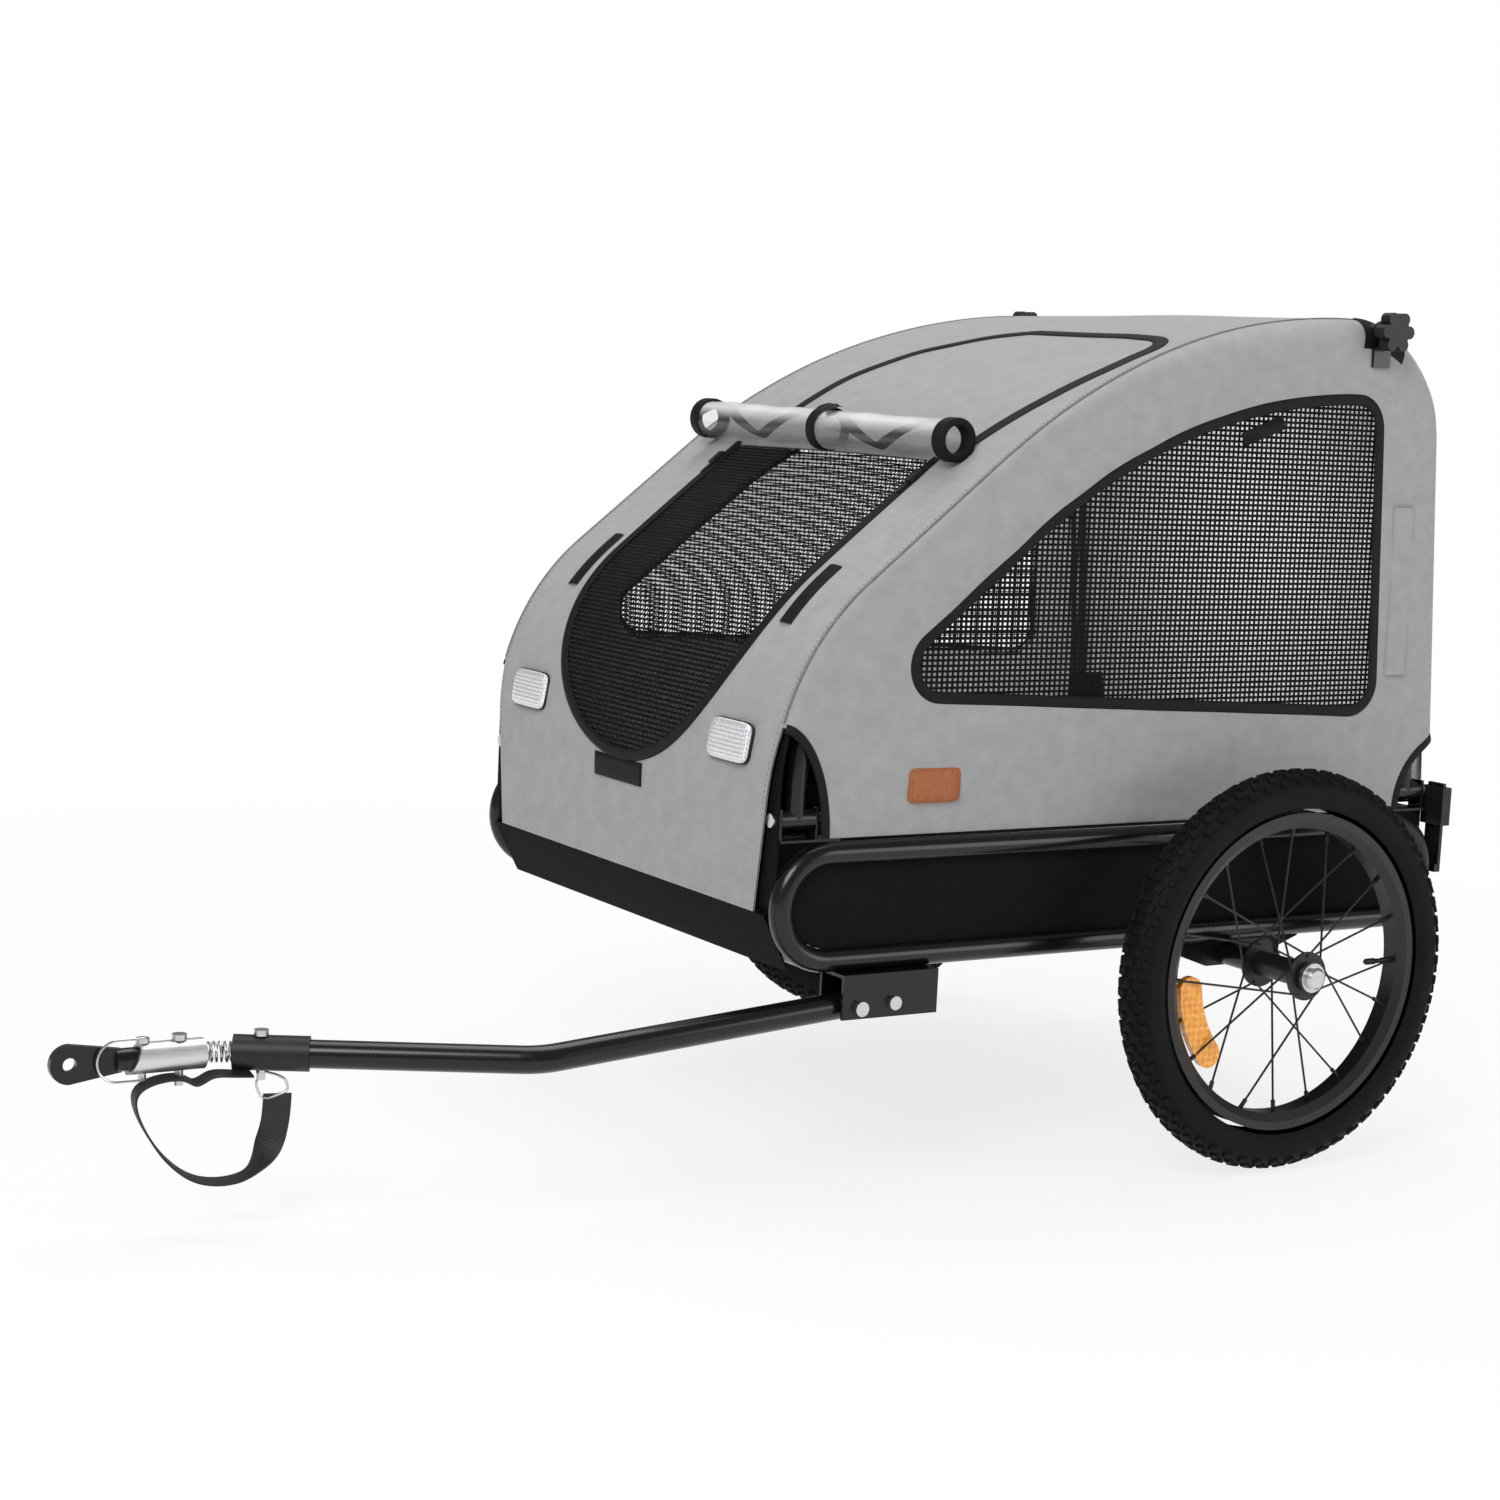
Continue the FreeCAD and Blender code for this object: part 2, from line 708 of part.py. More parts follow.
tyre = tyre_shape()
spokes = spoke_shape()
for side, hand in ((1, "left"), (-1, "right")):
    keep(on_wheel(plain("Tyre_" + hand, tyre), side), "tyre_" + hand)
    keep(on_wheel(revolved("Rim_" + hand, rimCorners), side), "rim_" + hand)
    keep(on_wheel(plain("Spokes_" + hand, spokes), side), "spokes_" + hand)
    keep(on_wheel(revolved("Hub_" + hand, hubCorners), side), "hub_" + hand)
    rings = []
    for end, foot in (("Outer", "hub_half - bearing_width"), ("Inner", "0 - hub_half")):
        race = rod(f"Race{end}_{hand}", "bearing_outer - run_clear", "bearing_width", "0", "0", foot)
        hole = rod(f"RaceBore{end}_{hand}", "bearing_inner", "bearing_width", "0", "0", foot)
        rings.append(cut(f"Bearing{end}_{hand}", race, hole))
    keep(on_wheel(group("Bearings_" + hand, rings), side), "bearings_" + hand)
    reflector = plain("WheelReflector_" + hand, wheel_reflector_shape(side))
    keep(on_wheel(reflector, side), "wheel_reflector_" + hand)
    # Quick-release axle: a rod through the hub with a dished head that holds the push button.
    shank = rod("Shank_" + hand, "axle_dia / 2", "shank_length", "0", "0",
                "rail_plane - wheel_plane - socket_depth / 2")
    head = rod("Head_" + hand, "axle_head_dia / 2", "axle_head_thick", "0", "0", "hub_half + seat_gap")
    dish = rod("Dish_" + hand, "button_dia / 2 + run_clear", "axle_head_thick", "0", "0",
               "hub_half + seat_gap + axle_head_thick - button_travel - seat_gap - run_clear")
    keep(on_wheel(cut("Axle_" + hand, fuse("AxleBlank_" + hand, [shank, head]), dish), side), "axle_" + hand)
    button = rod("Button_" + hand, "button_dia / 2", "button_thick", "0", "0",
                 "hub_half + seat_gap + axle_head_thick - run_clear")
    rim = doc.addObject("Part::Chamfer", "ButtonCap_" + hand)
    rim.Base = button
    doc.recompute()
    crown = [number for number, edge in enumerate(button.Shape.Edges, start=1)
             if edge.Closed and edge.CenterOfMass.z > button.Shape.CenterOfMass.z]
    rim.Edges = [(number, size("tread_depth"), size("tread_depth")) for number in crown]
    keep(on_wheel(rim, side), "release_button_" + hand)

# Chassis

railRadius = size("rail_radius")
loopRadius = (size("rail_high") - size("rail_low")) / 2
loopMiddle = (size("rail_high") + size("rail_low")) / 2
loopFront = size("rail_front") - railRadius - loopRadius
loopRear = loopRadius + railRadius - size("rail_rear")


# Stadium loop of bent tube.
def rail_shape():
    plane = size("rail_plane")
    length = loopFront - loopRear
    pieces = []
    for height in (size("rail_low"), size("rail_high")):
        pieces.append(Part.makeCylinder(railRadius, length, Vector(loopRear, plane, height), xAxis))
    for station, sweep in ((loopFront, 180), (loopRear, -180)):
        circle = Part.makeCircle(railRadius, Vector(station, plane, size("rail_high")), xAxis)
        section = Part.Face(Part.Wire(circle))
        pieces.append(section.revolve(Vector(station, plane, loopMiddle), yAxis, sweep))
    return pieces[0].multiFuse(pieces[1:]).removeSplitter()


# The cloth panel laced inside a rail loop.
def lower_panel_shape():
    radius = loopRadius - railRadius - size("seat_gap")
    plane = size("rail_plane") - size("panel_thick") / 2
    low = loopMiddle - radius
    high = loopMiddle + radius
    edges = [
        segment(Vector(loopRear, plane, low), Vector(loopFront, plane, low)),
        arc((loopFront, loopMiddle), radius, -math.pi / 2, math.pi / 2, plane),
        segment(Vector(loopFront, plane, high), Vector(loopRear, plane, high)),
        arc((loopRear, loopMiddle), radius, math.pi / 2, 3 * math.pi / 2, plane),
    ]
    return prism(edges, size("panel_thick"))


rail = rail_shape()
panel = lower_panel_shape()
keep(plain("RailLeft", rail), "side_rail_left")
keep(plain("RailRight", mirrored(rail)), "side_rail_right")
keep(plain("LowerPanels", Part.makeCompound([panel, mirrored(panel)])), "lower_panels")
crossTubes = []
for name, station in (("CrossFront", "axle_x + cross_front"), ("CrossAxle", "axle_x"),
                      ("CrossRear", "axle_x - cross_rear")):
    crossTubes.append(rod(name, "rail_radius", "2 * rail_inner", station, "0 - rail_inner", "rail_low", "Y"))
keep(group("CrossTubes", crossTubes), "cross_tubes")
keep(box("Floor", "rail_front - apron_slant + rail_rear - 4 * apron_thick", "2 * rail_inner", "floor_thick",
         "axle_x - rail_rear + 2 * apron_thick", "0 - rail_inner", "floor_top - floor_thick"), "floor_panel")
keep(box("RearApron", "apron_thick", "2 * rail_inner", "rear_apron_head - rail_low",
         "axle_x - rail_rear + apron_thick - seat_gap", "0 - rail_inner", "rail_low"), "rear_apron")


# Slanted cloth apron between the grey front and the floor.
def front_apron_shape():
    half = size("rail_inner")
    top = size("cover_foot") - size("seat_gap")
    foot = size("apron_foot")
    thick = size("apron_thick")
    front = size("cover_front")
    lower = front - size("apron_slant")
    corners = [(front, top), (lower, foot), (lower - thick, foot), (front - thick, top)]
    points = [Vector(x, -half, z) for x, z in corners]
    edges = [segment(point, points[(index + 1) % len(points)]) for index, point in enumerate(points)]
    return prism(edges, 2 * half)


keep(plain("FrontApron", front_apron_shape()), "front_apron")


# Gusset under the rail with the socket that takes the wheel's quick-release axle.
def wheel_bracket_shape():
    plane = size("rail_plane")
    thick = size("gusset_thick")
    top = size("rail_foot") - size("seat_gap")
    span = size("gusset_span") / 2
    base = size("gusset_base") / 2
    foot = top - size("gusset_drop")
    corners = [(-span, top), (span, top), (base, foot), (-base, foot)]
    points = [Vector(x, plane - thick / 2, z) for x, z in corners]
    edges = [segment(point, points[(index + 1) % len(points)]) for index, point in enumerate(points)]
    gusset = prism(edges, thick)
    start = plane - size("socket_depth") / 2
    end = size("wheel_plane") - size("hub_half") - size("seat_gap")
    socket = Part.makeCylinder(size("socket_dia") / 2, end - start,
                               Vector(0, start, size("axle_height")), yAxis)
    bore = Part.makeCylinder(size("bearing_inner"), end - start, Vector(0, start, size("axle_height")), yAxis)
    return gusset.fuse(socket).removeSplitter().cut(bore)


wheelBracket = wheel_bracket_shape()
keep(plain("WheelBrackets", Part.makeCompound([wheelBracket, mirrored(wheelBracket)])), "wheel_brackets")

# Folding side frames

crossbarX = Outline(0, 0).corner[0] - size("crossbar_set")
bowLine = Outline(size("bow_inset"), 0)
hingeStations = (bowLine.front, bowLine.rear_point(size("hinge_height")).x)


# Bent bow with a hinge barrel across each foot.
def bow_shape():
    line = Outline(size("bow_inset"), size("bow_plane"))
    radius = size("bow_tube") / 2
    bow = tube_along(line.whole(size("hinge_height"), size("hinge_height")), radius)
    for station in hingeStations:
        start = Vector(station - size("barrel_length") / 2, size("bow_plane"), size("hinge_height"))
        bow = bow.fuse(Part.makeCylinder(radius, size("barrel_length"), start, xAxis))
    bore = size("hinge_bolt_dia") / 2 + size("run_clear")
    for station in hingeStations:
        start = Vector(station - size("barrel_length") / 2, size("bow_plane"), size("hinge_height"))
        bow = bow.cut(Part.makeCylinder(bore, size("barrel_length"), start, xAxis))
    return bow


# Two ears on a foot plate that reaches back to the straight of the rail, for a bow's hinge barrel.
def hinge_bracket_shape(station):
    gap = size("barrel_length") / 2 + size("seat_gap")
    thick = size("ear_thick")
    foot = size("rail_top") + size("seat_gap")
    head = size("hinge_height") + size("ear_head")
    plane = size("bow_plane") - size("ear_width") / 2
    width = size("ear_width")
    pieces = []
    for start in (station - gap - thick, station + gap):
        pieces.append(Part.makeBox(thick, width, head - foot, Vector(start, plane, foot)))
    reach = size("hinge_foot_reach")
    footStart = station - gap - thick - (reach if station > 0 else 0)
    base = Part.makeBox(2 * (gap + thick) + reach, size("rail_plane") - plane, size("hinge_foot_thick"),
                        Vector(footStart, plane, foot))
    bracket = base.multiFuse(pieces).removeSplitter()
    bore = size("hinge_bolt_dia") / 2 + size("run_clear")
    length = 2 * (gap + thick)
    return bracket.cut(Part.makeCylinder(
        bore, length, Vector(station - gap - thick, size("bow_plane"), size("hinge_height")), xAxis))


def hinge_bolt_shape(station):
    gap = size("barrel_length") / 2 + size("seat_gap") + size("ear_thick")
    start = Vector(station - gap, size("bow_plane"), size("hinge_height"))
    bolt = Part.makeCylinder(size("hinge_bolt_dia") / 2, 2 * gap, start, xAxis)
    head = size("bolt_head_thick")
    for place_x in (station - gap - head, station + gap):
        cap = Part.makeCylinder(size("bolt_head_dia") / 2, head,
                                Vector(place_x, size("bow_plane"), size("hinge_height")), xAxis)
        bolt = bolt.fuse(cap)
    return bolt.removeSplitter()


bow = bow_shape()
brackets = [hinge_bracket_shape(station) for station in hingeStations]
bolts = [hinge_bolt_shape(station) for station in hingeStations]
brackets += [mirrored(item) for item in brackets]
keep(plain("HingeBrackets", Part.makeCompound(brackets)), "hinge_brackets")
keep(plain("HingeBolts", Part.makeCompound(bolts + [mirrored(item) for item in bolts])), "hinge_bolts")
keep(plain("BowLeft", bow), "side_bow_left")
keep(plain("BowRight", mirrored(bow)), "side_bow_right")


# The window's outline: the cover's own line drawn in, clipped below and behind, with round corners.
def window_face(grow):
    plane = size("cover_side")
    inside = Part.Face(Part.Wire(Outline(size("window_inset"), plane).closed(size("rail_top"))))
    front = size("rail_front")
    rear = -size("window_rear")
    foot = size("window_foot")
    high = size("roof_height")
    rise = (front - rear) * math.tan(math.radians(windowRise))
    lean = (high - foot) * math.tan(math.radians(windowLean))
    corners = [Vector(rear, plane, foot), Vector(front, plane, foot + rise), Vector(front, plane, high),
               Vector(rear + lean, plane, high)]
    frame = Part.Face(Part.makePolygon(corners + corners[:1]))
    clipped = inside.common(frame).Faces[0]
    corner = size("window_corner")
    return clipped.makeOffset2D(-corner).makeOffset2D(corner + grow)


# Side of the cover: a shallow tray with soft shoulders, the window and room for hinges and crossbar.
def side_cover_shape():
    outerPlane = size("cover_side")
    innerPlane = outerPlane - size("shoulder_depth")
    wall = size("side_wall")
    foot = size("side_bottom")

    def soft(block, plane, radius):
        rounds = []
        for edge in block.Edges:
            ends = [vertex.Point for vertex in edge.Vertexes]
            atOuter = all(abs(point.y - plane) < size("run_clear") for point in ends)
            atFoot = all(point.z < foot + size("run_clear") for point in ends)
            if atOuter and not atFoot:
                rounds.append(edge)
        return block.makeFillet(radius, rounds)

    outer = soft(prism(Outline(0, innerPlane).closed(foot), size("shoulder_depth")), outerPlane,
                 size("shoulder_radius"))
    depth = size("shoulder_depth") - wall
    hollow = soft(prism(Outline(wall, innerPlane).closed(foot), depth), outerPlane - wall,
                  size("shoulder_radius") - wall)
    tray = outer.cut(hollow)
    for station, long, high in (
        (size("cover_front"), size("notch_front_long"), size("notch_front_high")),
        (-size("rear_foot"), size("notch_rear_long"), size("notch_rear_high")),
    ):
        curve = Part.Ellipse(Vector(station, innerPlane, foot), high, long)
        curve.Axis = Vector(0, -1, 0)
        curve.XAxis = zAxis
        notch = Part.Face(Part.Wire(curve.toShape())).extrude(Vector(0, size("shoulder_depth"), 0))
        tray = tray.cut(notch)
    window = window_face(0).extrude(Vector(0, -size("shoulder_depth"), 0))
    window.translate(Vector(0, size("overrun"), 0))
    slotHalf = size("crossbar_tube") / 2 + size("overrun")
    slotFoot = size("crossbar_height") - size("crossbar_tube") / 2 - size("overrun")
    slot = Part.makeBox(2 * slotHalf, size("shoulder_depth") + 2 * size("overrun"), size("crossbar_tube") * 2,
                        Vector(crossbarX - slotHalf, innerPlane - size("overrun"), slotFoot))
    return tray.cut(window).cut(slot)


# Window net: one face with its gaps, clear of the border.
def window_net_shape():
    border = window_face(size("net_lap"))
    clear = window_face(-size("net_cord"))
    pitch = size("net_pitch")
    gap = pitch - size("net_cord")
    reach = clear.BoundBox
    holes = []
    columns = int(reach.XLength / pitch)
    rows = int(reach.ZLength / pitch)
    startX = reach.Center.x - columns * pitch / 2
    startZ = reach.Center.z - rows * pitch / 2
    plane = size("cover_side")
    for column in range(columns):
        for row in range(rows):
            x = startX + column * pitch
            z = startZ + row * pitch
            square = [Vector(x, plane, z), Vector(x + gap, plane, z), Vector(x + gap, plane, z + gap),
                      Vector(x, plane, z + gap)]
            if all(clear.isInside(point, size("run_clear"), True) for point in square):
                holes.append(Part.makePolygon(square + square[:1]))
    print("gaps in each window net:", len(holes))
    net = Part.Face(border.OuterWire).extrude(Vector(0, -size("net_thick"), 0))
    cuts = [Part.Face(hole).extrude(Vector(0, -size("net_thick"), 0)) for hole in holes]
    net = net.cut(Part.makeCompound(cuts))
    net.translate(Vector(0, -size("side_wall") - size("seat_gap"), 0))
    return net


sideCover = side_cover_shape()
windowNet = window_net_shape()
keep(plain("SideCoverLeft", sideCover), "side_cover_left")
keep(plain("SideCoverRight", mirrored(sideCover)), "side_cover_right")
keep(plain("WindowNetLeft", windowNet), "window_net_left")
keep(plain("WindowNetRight", mirrored(windowNet)), "window_net_right")


# Front and roof sheet with the doorway, and the mesh that fills it.
def doorway(shrink):
    half = size("mesh_half") - shrink
    foot = size("mesh_foot") + shrink
    head = size("mesh_head") - shrink
    level = foot + half
    start = size("cover_front") + size("overrun")
    points = [Vector(start, half, level), Vector(start, half, head), Vector(start, -half, head),
              Vector(start, -half, level)]
    edges = [segment(points[0], points[1]), segment(points[1], points[2]), segment(points[2], points[3]),
             Part.Arc(points[3], Vector(start, 0, foot), points[0]).toShape()]
    return Part.Face(Part.Wire(edges)).extrude(Vector(-start, 0, 0))


sheetHalf = size("cover_side") - size("shoulder_depth") - size("seat_gap")
roofSheet = sheet_over(0, size("cloth"), sheetHalf, size("cover_foot")).cut(doorway(0))
meshInset = (size("cloth") - size("mesh_thick")) / 2
meshSheet = sheet_over(meshInset, size("cloth") - meshInset, sheetHalf, size("cover_foot"))
keep(plain("RoofSheet", roofSheet), "roof_cover")
keep(plain("DoorMesh", meshSheet.common(doorway(size("seat_gap")))), "front_mesh")

# Rear flap, zipped along its top and sides and hinged at its foot.


def rear_door_shape():
    half = size("cover_side") - size("door_margin")
    outer = Outline(-size("door_gap") - size("door_thick"), -half)
    inner = Outline(-size("door_gap"), -half)
    foot = size("door_foot")
    head = size("roof_height") - size("rear_radius")
    points = [outer.rear_point(foot), outer.rear_point(head), inner.rear_point(head), inner.rear_point(foot)]
    edges = [segment(point, points[(index + 1) % len(points)]) for index, point in enumerate(points)]
    return prism(edges, 2 * half)


keep(plain("RearDoor", rear_door_shape()), "rear_door")


# A square reflector block with rounded upright corners, facing along X.
def reflector_block(x, y, z, outward):
    width = size("reflector_width")
    height = size("reflector_height")
    block = Part.makeBox(size("reflector_thick"), width, height)
    face = size("reflector_thick") if outward > 0 else 0
    rounds = []
    for edge in block.Edges:
        ends = [vertex.Point for vertex in edge.Vertexes]
        if all(abs(point.x - face) < size("run_clear") for point in ends):
            rounds.append(edge)
    block = block.makeFillet(size("reflector_corner"), rounds)
    start = x if outward > 0 else x - size("reflector_thick")
    block.translate(Vector(start, y - width / 2, z - height / 2))
    return block


frontReflectors = []
rearReflectors = []
noseLine = Outline(-size("seat_gap"), 0)
noseTilt = noseLine.front_turn(size("reflector_level"))
rearOuter = Outline(-size("door_gap") - size("door_thick") - size("seat_gap"), 0)
for way in (1, -1):
    leaning = reflector_block(0, way * size("reflector_plane"), 0, 1)
    leaning.rotate(Vector(), yAxis, -math.degrees(noseTilt))
    leaning.translate(noseLine.front_point(size("reflector_level")))
    frontReflectors.append(leaning)
    tilted = reflector_block(0, way * size("reflector_plane"), 0, -1)
    tilted.rotate(Vector(), yAxis, rearLean)
    tilted.translate(rearOuter.rear_point(size("reflector_level")))
    rearReflectors.append(tilted)
keep(plain("FrontReflectors", Part.makeCompound(frontReflectors)), "front_reflectors")
keep(plain("RearReflectors", Part.makeCompound(rearReflectors)), "rear_reflectors")

# Rolled clear rain cover above the mesh door.
rollAngle = 52


def roll_shape():
    half = size("roll_length") / 2
    line = Outline(0, -half)
    centre = line.roof_spot(math.radians(rollAngle), size("roll_dia") / 2 - size("roll_pitch") / 2)
    sheetThick = size("roll_sheet")
    outer = []
    inner = []
    radius = size("roll_dia") / 2
    step = size("roll_pitch") / 2
    start = Vector(centre.x + radius, -half, centre.z)
    startInner = start - Vector(sheetThick, 0, 0)
    way = -1
    firstOuter = start
    firstInner = startInner
    while radius > 3 * size("roll_pitch"):
        reach = 2 * radius - step
        end = start + Vector(way * reach, 0, 0)
        endInner = end - Vector(way * sheetThick, 0, 0)
        mid = (start + end) * 0.5 - Vector(0, 0, way * reach / 2)
        innerReach = abs(endInner.x - startInner.x) / 2
        midInner = (startInner + endInner) * 0.5 - Vector(0, 0, way * innerReach)
        outer.append(Part.Arc(start, mid, end).toShape())
        inner.append(Part.Arc(startInner, midInner, endInner).toShape())
        start = end
        startInner = endInner
        radius -= step
        way = -way
    edges = outer + [segment(start, startInner)] + inner + [segment(firstOuter, firstInner)]
    return Part.Face(Part.Wire(Part.__sortEdges__(edges))).extrude(Vector(0, 2 * half, 0))


keep(plain("CoverRoll", roll_shape()), "rain_cover_roll")

# Rear crossbar over both bows, with hooks down their outer sides, and its star knobs

hookPlane = size("cover_side") + size("seat_gap")


def crossbar_shape():
    half = hookPlane + size("hook_thick")
    height = size("crossbar_height")
    bar = Part.makeCylinder(size("crossbar_tube") / 2, 2 * half, Vector(crossbarX, -half, height), yAxis)
    for way in (1, -1):
        start = hookPlane if way > 0 else -half
        plate = Part.makeBox(size("hook_width"), size("hook_thick"), size("hook_drop"),
                             Vector(crossbarX - size("hook_width") / 2, start, height - size("hook_drop")))
        eyePlate = Part.makeCylinder(size("hook_width") / 2, size("hook_thick"),
                                     Vector(crossbarX, start, height), yAxis)
        bar = bar.fuse(plate).fuse(eyePlate)
    return bar.removeSplitter()


lobeCount = 6


# Star knob along Y, from the hook's outer face.
def knob_shape():
    start = hookPlane + size("hook_thick") + size("seat_gap")
    height = size("crossbar_height")
    lobe = size("knob_lobe_dia") / 2
    ringRadius = size("knob_dia") / 2 - lobe
    boss = Part.makeCylinder(size("knob_boss_dia") / 2, size("knob_boss_thick"),
                             Vector(crossbarX, start, height), yAxis)
    discStart = start + size("knob_boss_thick")
    disc = Part.makeCylinder(ringRadius, size("knob_thick"), Vector(crossbarX, discStart, height), yAxis)
    pieces = [disc]
    for index in range(lobeCount):
        angle = 2 * math.pi * index / lobeCount
        centre = Vector(crossbarX + ringRadius * math.cos(angle), discStart,
                        height + ringRadius * math.sin(angle))
        pieces.append(Part.makeCylinder(lobe, size("knob_thick"), centre, yAxis))
    return boss.multiFuse(pieces).removeSplitter()


knob = knob_shape()
keep(plain("Crossbar", crossbar_shape()), "rear_crossbar")
keep(plain("KnobLeft", knob), "star_knob_left")
keep(plain("KnobRight", mirrored(knob)), "star_knob_right")


# Rear latches: an upright bar on the rail's end and the sleeve that slides on it.
def latch_shapes():
    plane = size("rail_plane") - size("latch_bar_width") / 2
    spacerEnd = -size("rail_rear") - size("seat_gap")
    barX = spacerEnd - size("latch_spacer") - size("latch_bar_thick")
    foot = size("latch_bar_foot")
    bar = Part.makeBox(size("latch_bar_thick"), size("latch_bar_width"), size("latch_bar_length"),
                       Vector(barX, plane, foot))
    spacer = Part.makeBox(size("latch_spacer"), size("latch_bar_width"), 2 * size("latch_spacer"),
                          Vector(barX + size("latch_bar_thick"), plane, foot - 2 * size("latch_spacer")))
    ledge = Part.makeBox(size("latch_bar_thick"), size("latch_bar_width"), 2 * size("latch_spacer"),
                         Vector(barX, plane, foot - 2 * size("latch_spacer")))
    wall = size("latch_wall")
    clear = size("seat_gap")
    front = size("latch_spacer") - clear
    sleeve = Part.makeBox(size("latch_bar_thick") + wall + 2 * clear + front - clear,
                          size("latch_bar_width") + 2 * (wall + clear), size("latch_length"),
                          Vector(barX - clear - wall, plane - wall - clear,
                                 foot + size("latch_bar_length") - size("latch_length") - wall))
    bore = Part.makeBox(size("latch_bar_thick") + 2 * clear, size("latch_bar_width") + 2 * clear,
                        size("latch_length"),
                        Vector(barX - clear, plane - clear,
                               foot + size("latch_bar_length") - size("latch_length") - wall))
    return bar.fuse(spacer).fuse(ledge).removeSplitter(), sleeve.cut(bore)


latchBar, latchSleeve = latch_shapes()
keep(plain("LatchBars", Part.makeCompound([latchBar, mirrored(latchBar)])), "latch_bars")
keep(plain("LatchLeft", latchSleeve), "latch_sleeve_left")
keep(plain("LatchRight", mirrored(latchSleeve)), "latch_sleeve_right")

# Drawbar, its bracket and its bolts

channel = box("Channel", "bracket_length", "bracket_width", "bracket_height",
              "axle_x + bracket_rear", "rail_plane - bracket_width / 2", "bracket_top - bracket_height")
hollow = box("ChannelHollow", "bracket_length", "bracket_width - 2 * bracket_wall",
             "bracket_height - bracket_wall", "axle_x + bracket_rear",
             "rail_plane - bracket_width / 2 + bracket_wall",
             "bracket_top - bracket_height")
lockX = pivot.x + size("pin_gap") * math.cos(pitch)
lockZ = pivot.z - size("pin_gap") * math.sin(pitch)
boltHoles = []
for name, station, height in (("PivotHole", pivot.x, pivot.z), ("LockHole", lockX, lockZ)):
    hole = Part.makeCylinder(size("draw_bolt_dia") / 2 + size("run_clear"), size("bracket_width"),
                             Vector(station, size("rail_plane") - size("bracket_width") / 2, height), yAxis)
    boltHoles.append(plain(name, hole))
bracketFront = axleX + size("bracket_rear") + size("bracket_length")
bracketFoot = size("bracket_top") - size("bracket_height")
bracketSide = size("rail_plane") - size("bracket_width") / 2
nip = [Vector(bracketFront, bracketSide, bracketFoot),
       Vector(bracketFront, bracketSide, bracketFoot + size("bracket_nip_height")),
       Vector(bracketFront - size("bracket_nip_length"), bracketSide, bracketFoot)]
nipEdges = [segment(point, nip[(index + 1) % len(nip)]) for index, point in enumerate(nip)]
boltHoles.append(plain("BracketNip", prism(nipEdges, size("bracket_width"))))
keep(cut("DrawbarBracket", cut("ChannelOpen", channel, hollow), fuse("BracketHoles", boltHoles)),
     "drawbar_bracket")


# A headed bolt across the bracket.
def cross_bolt(station, height, headDia):
    head = size("bolt_head_thick")
    half = size("bracket_width") / 2 + size("seat_gap")
    start = Vector(station, size("rail_plane") - half, height)
    bolt = Part.makeCylinder(size("draw_bolt_dia") / 2, 2 * half, start, yAxis)
    for plane in (size("rail_plane") - half - head, size("rail_plane") + half):
        bolt = bolt.fuse(Part.makeCylinder(headDia / 2, head, Vector(station, plane, height), yAxis))
    return bolt.removeSplitter()


def lock_pin(station, height, headDia):
    half = size("bracket_width") / 2 + size("seat_gap")
    start = Vector(station, size("rail_plane") - half - size("overrun"), height)
    pin = Part.makeCylinder(size("draw_bolt_dia") / 2, 2 * half + size("overrun"), start, yAxis)
    head = Part.makeCylinder(headDia / 2, size("bolt_head_thick"),
                             Vector(station, size("rail_plane") + half, height), yAxis)
    return pin.fuse(head).removeSplitter()


keep(plain("PivotBolt", cross_bolt(pivot.x, pivot.z, size("bolt_head_dia"))), "drawbar_pivot_bolt")
keep(plain("LockPin", lock_pin(lockX, lockZ, size("lock_head_dia"))), "drawbar_lock_pin")

boltX = tubeEnd - armWay * size("sleeve_bolt_set")
sleeveStart = tubeEnd - armWay * size("sleeve_length")


# Bent tube, slotted upwards behind its pivot so that it swings down off the lock pin.
def drawbar_shape():
    start = pivot - ahead * size("drawbar_stub")
    edges = rounded_path([start, elbow, tubeEnd], [size("drawbar_bend")])
    radius = size("drawbar_tube") / 2
    tube = tube_along(edges, radius).cut(tube_along(edges, radius - size("drawbar_wall")))
    across = 2 * size("drawbar_tube")
    bolt = size("draw_bolt_dia") / 2
    base = Vector(pivot.x, pivot.y - across / 2, pivot.z)
    tube = tube.cut(Part.makeCylinder(bolt + size("run_clear"), across, base, yAxis))
    clear = bolt + size("seat_gap")
    ring = Part.makeCylinder(size("pin_gap") + clear, across, base, yAxis).cut(
        Part.makeCylinder(size("pin_gap") - clear, across, base, yAxis))
    low = Vector(base.x, base.y, lockZ)
    ring = ring.common(Part.makeBox(2 * across, across, across, low))
    seat = Part.makeCylinder(clear, across, Vector(lockX, base.y, lockZ), yAxis)
    tube = tube.cut(ring).cut(seat)
    return tube.cut(sleeve_bolt_hole())


def sleeve_bolt_hole():
    reach = size("sleeve_dia")
    return Part.makeCylinder(size("sleeve_bolt_dia") / 2 + size("run_clear"), 2 * reach,
                             boltX - Vector(0, 0, reach), zAxis)


def end_sleeve_shape():
    length = size("sleeve_length")
    outer = Part.makeCylinder(size("sleeve_dia") / 2, length, sleeveStart, armWay)
    bore = Part.makeCylinder(size("drawbar_tube") / 2 + size("run_clear"), length, sleeveStart, armWay)
    return outer.cut(bore).cut(sleeve_bolt_hole())


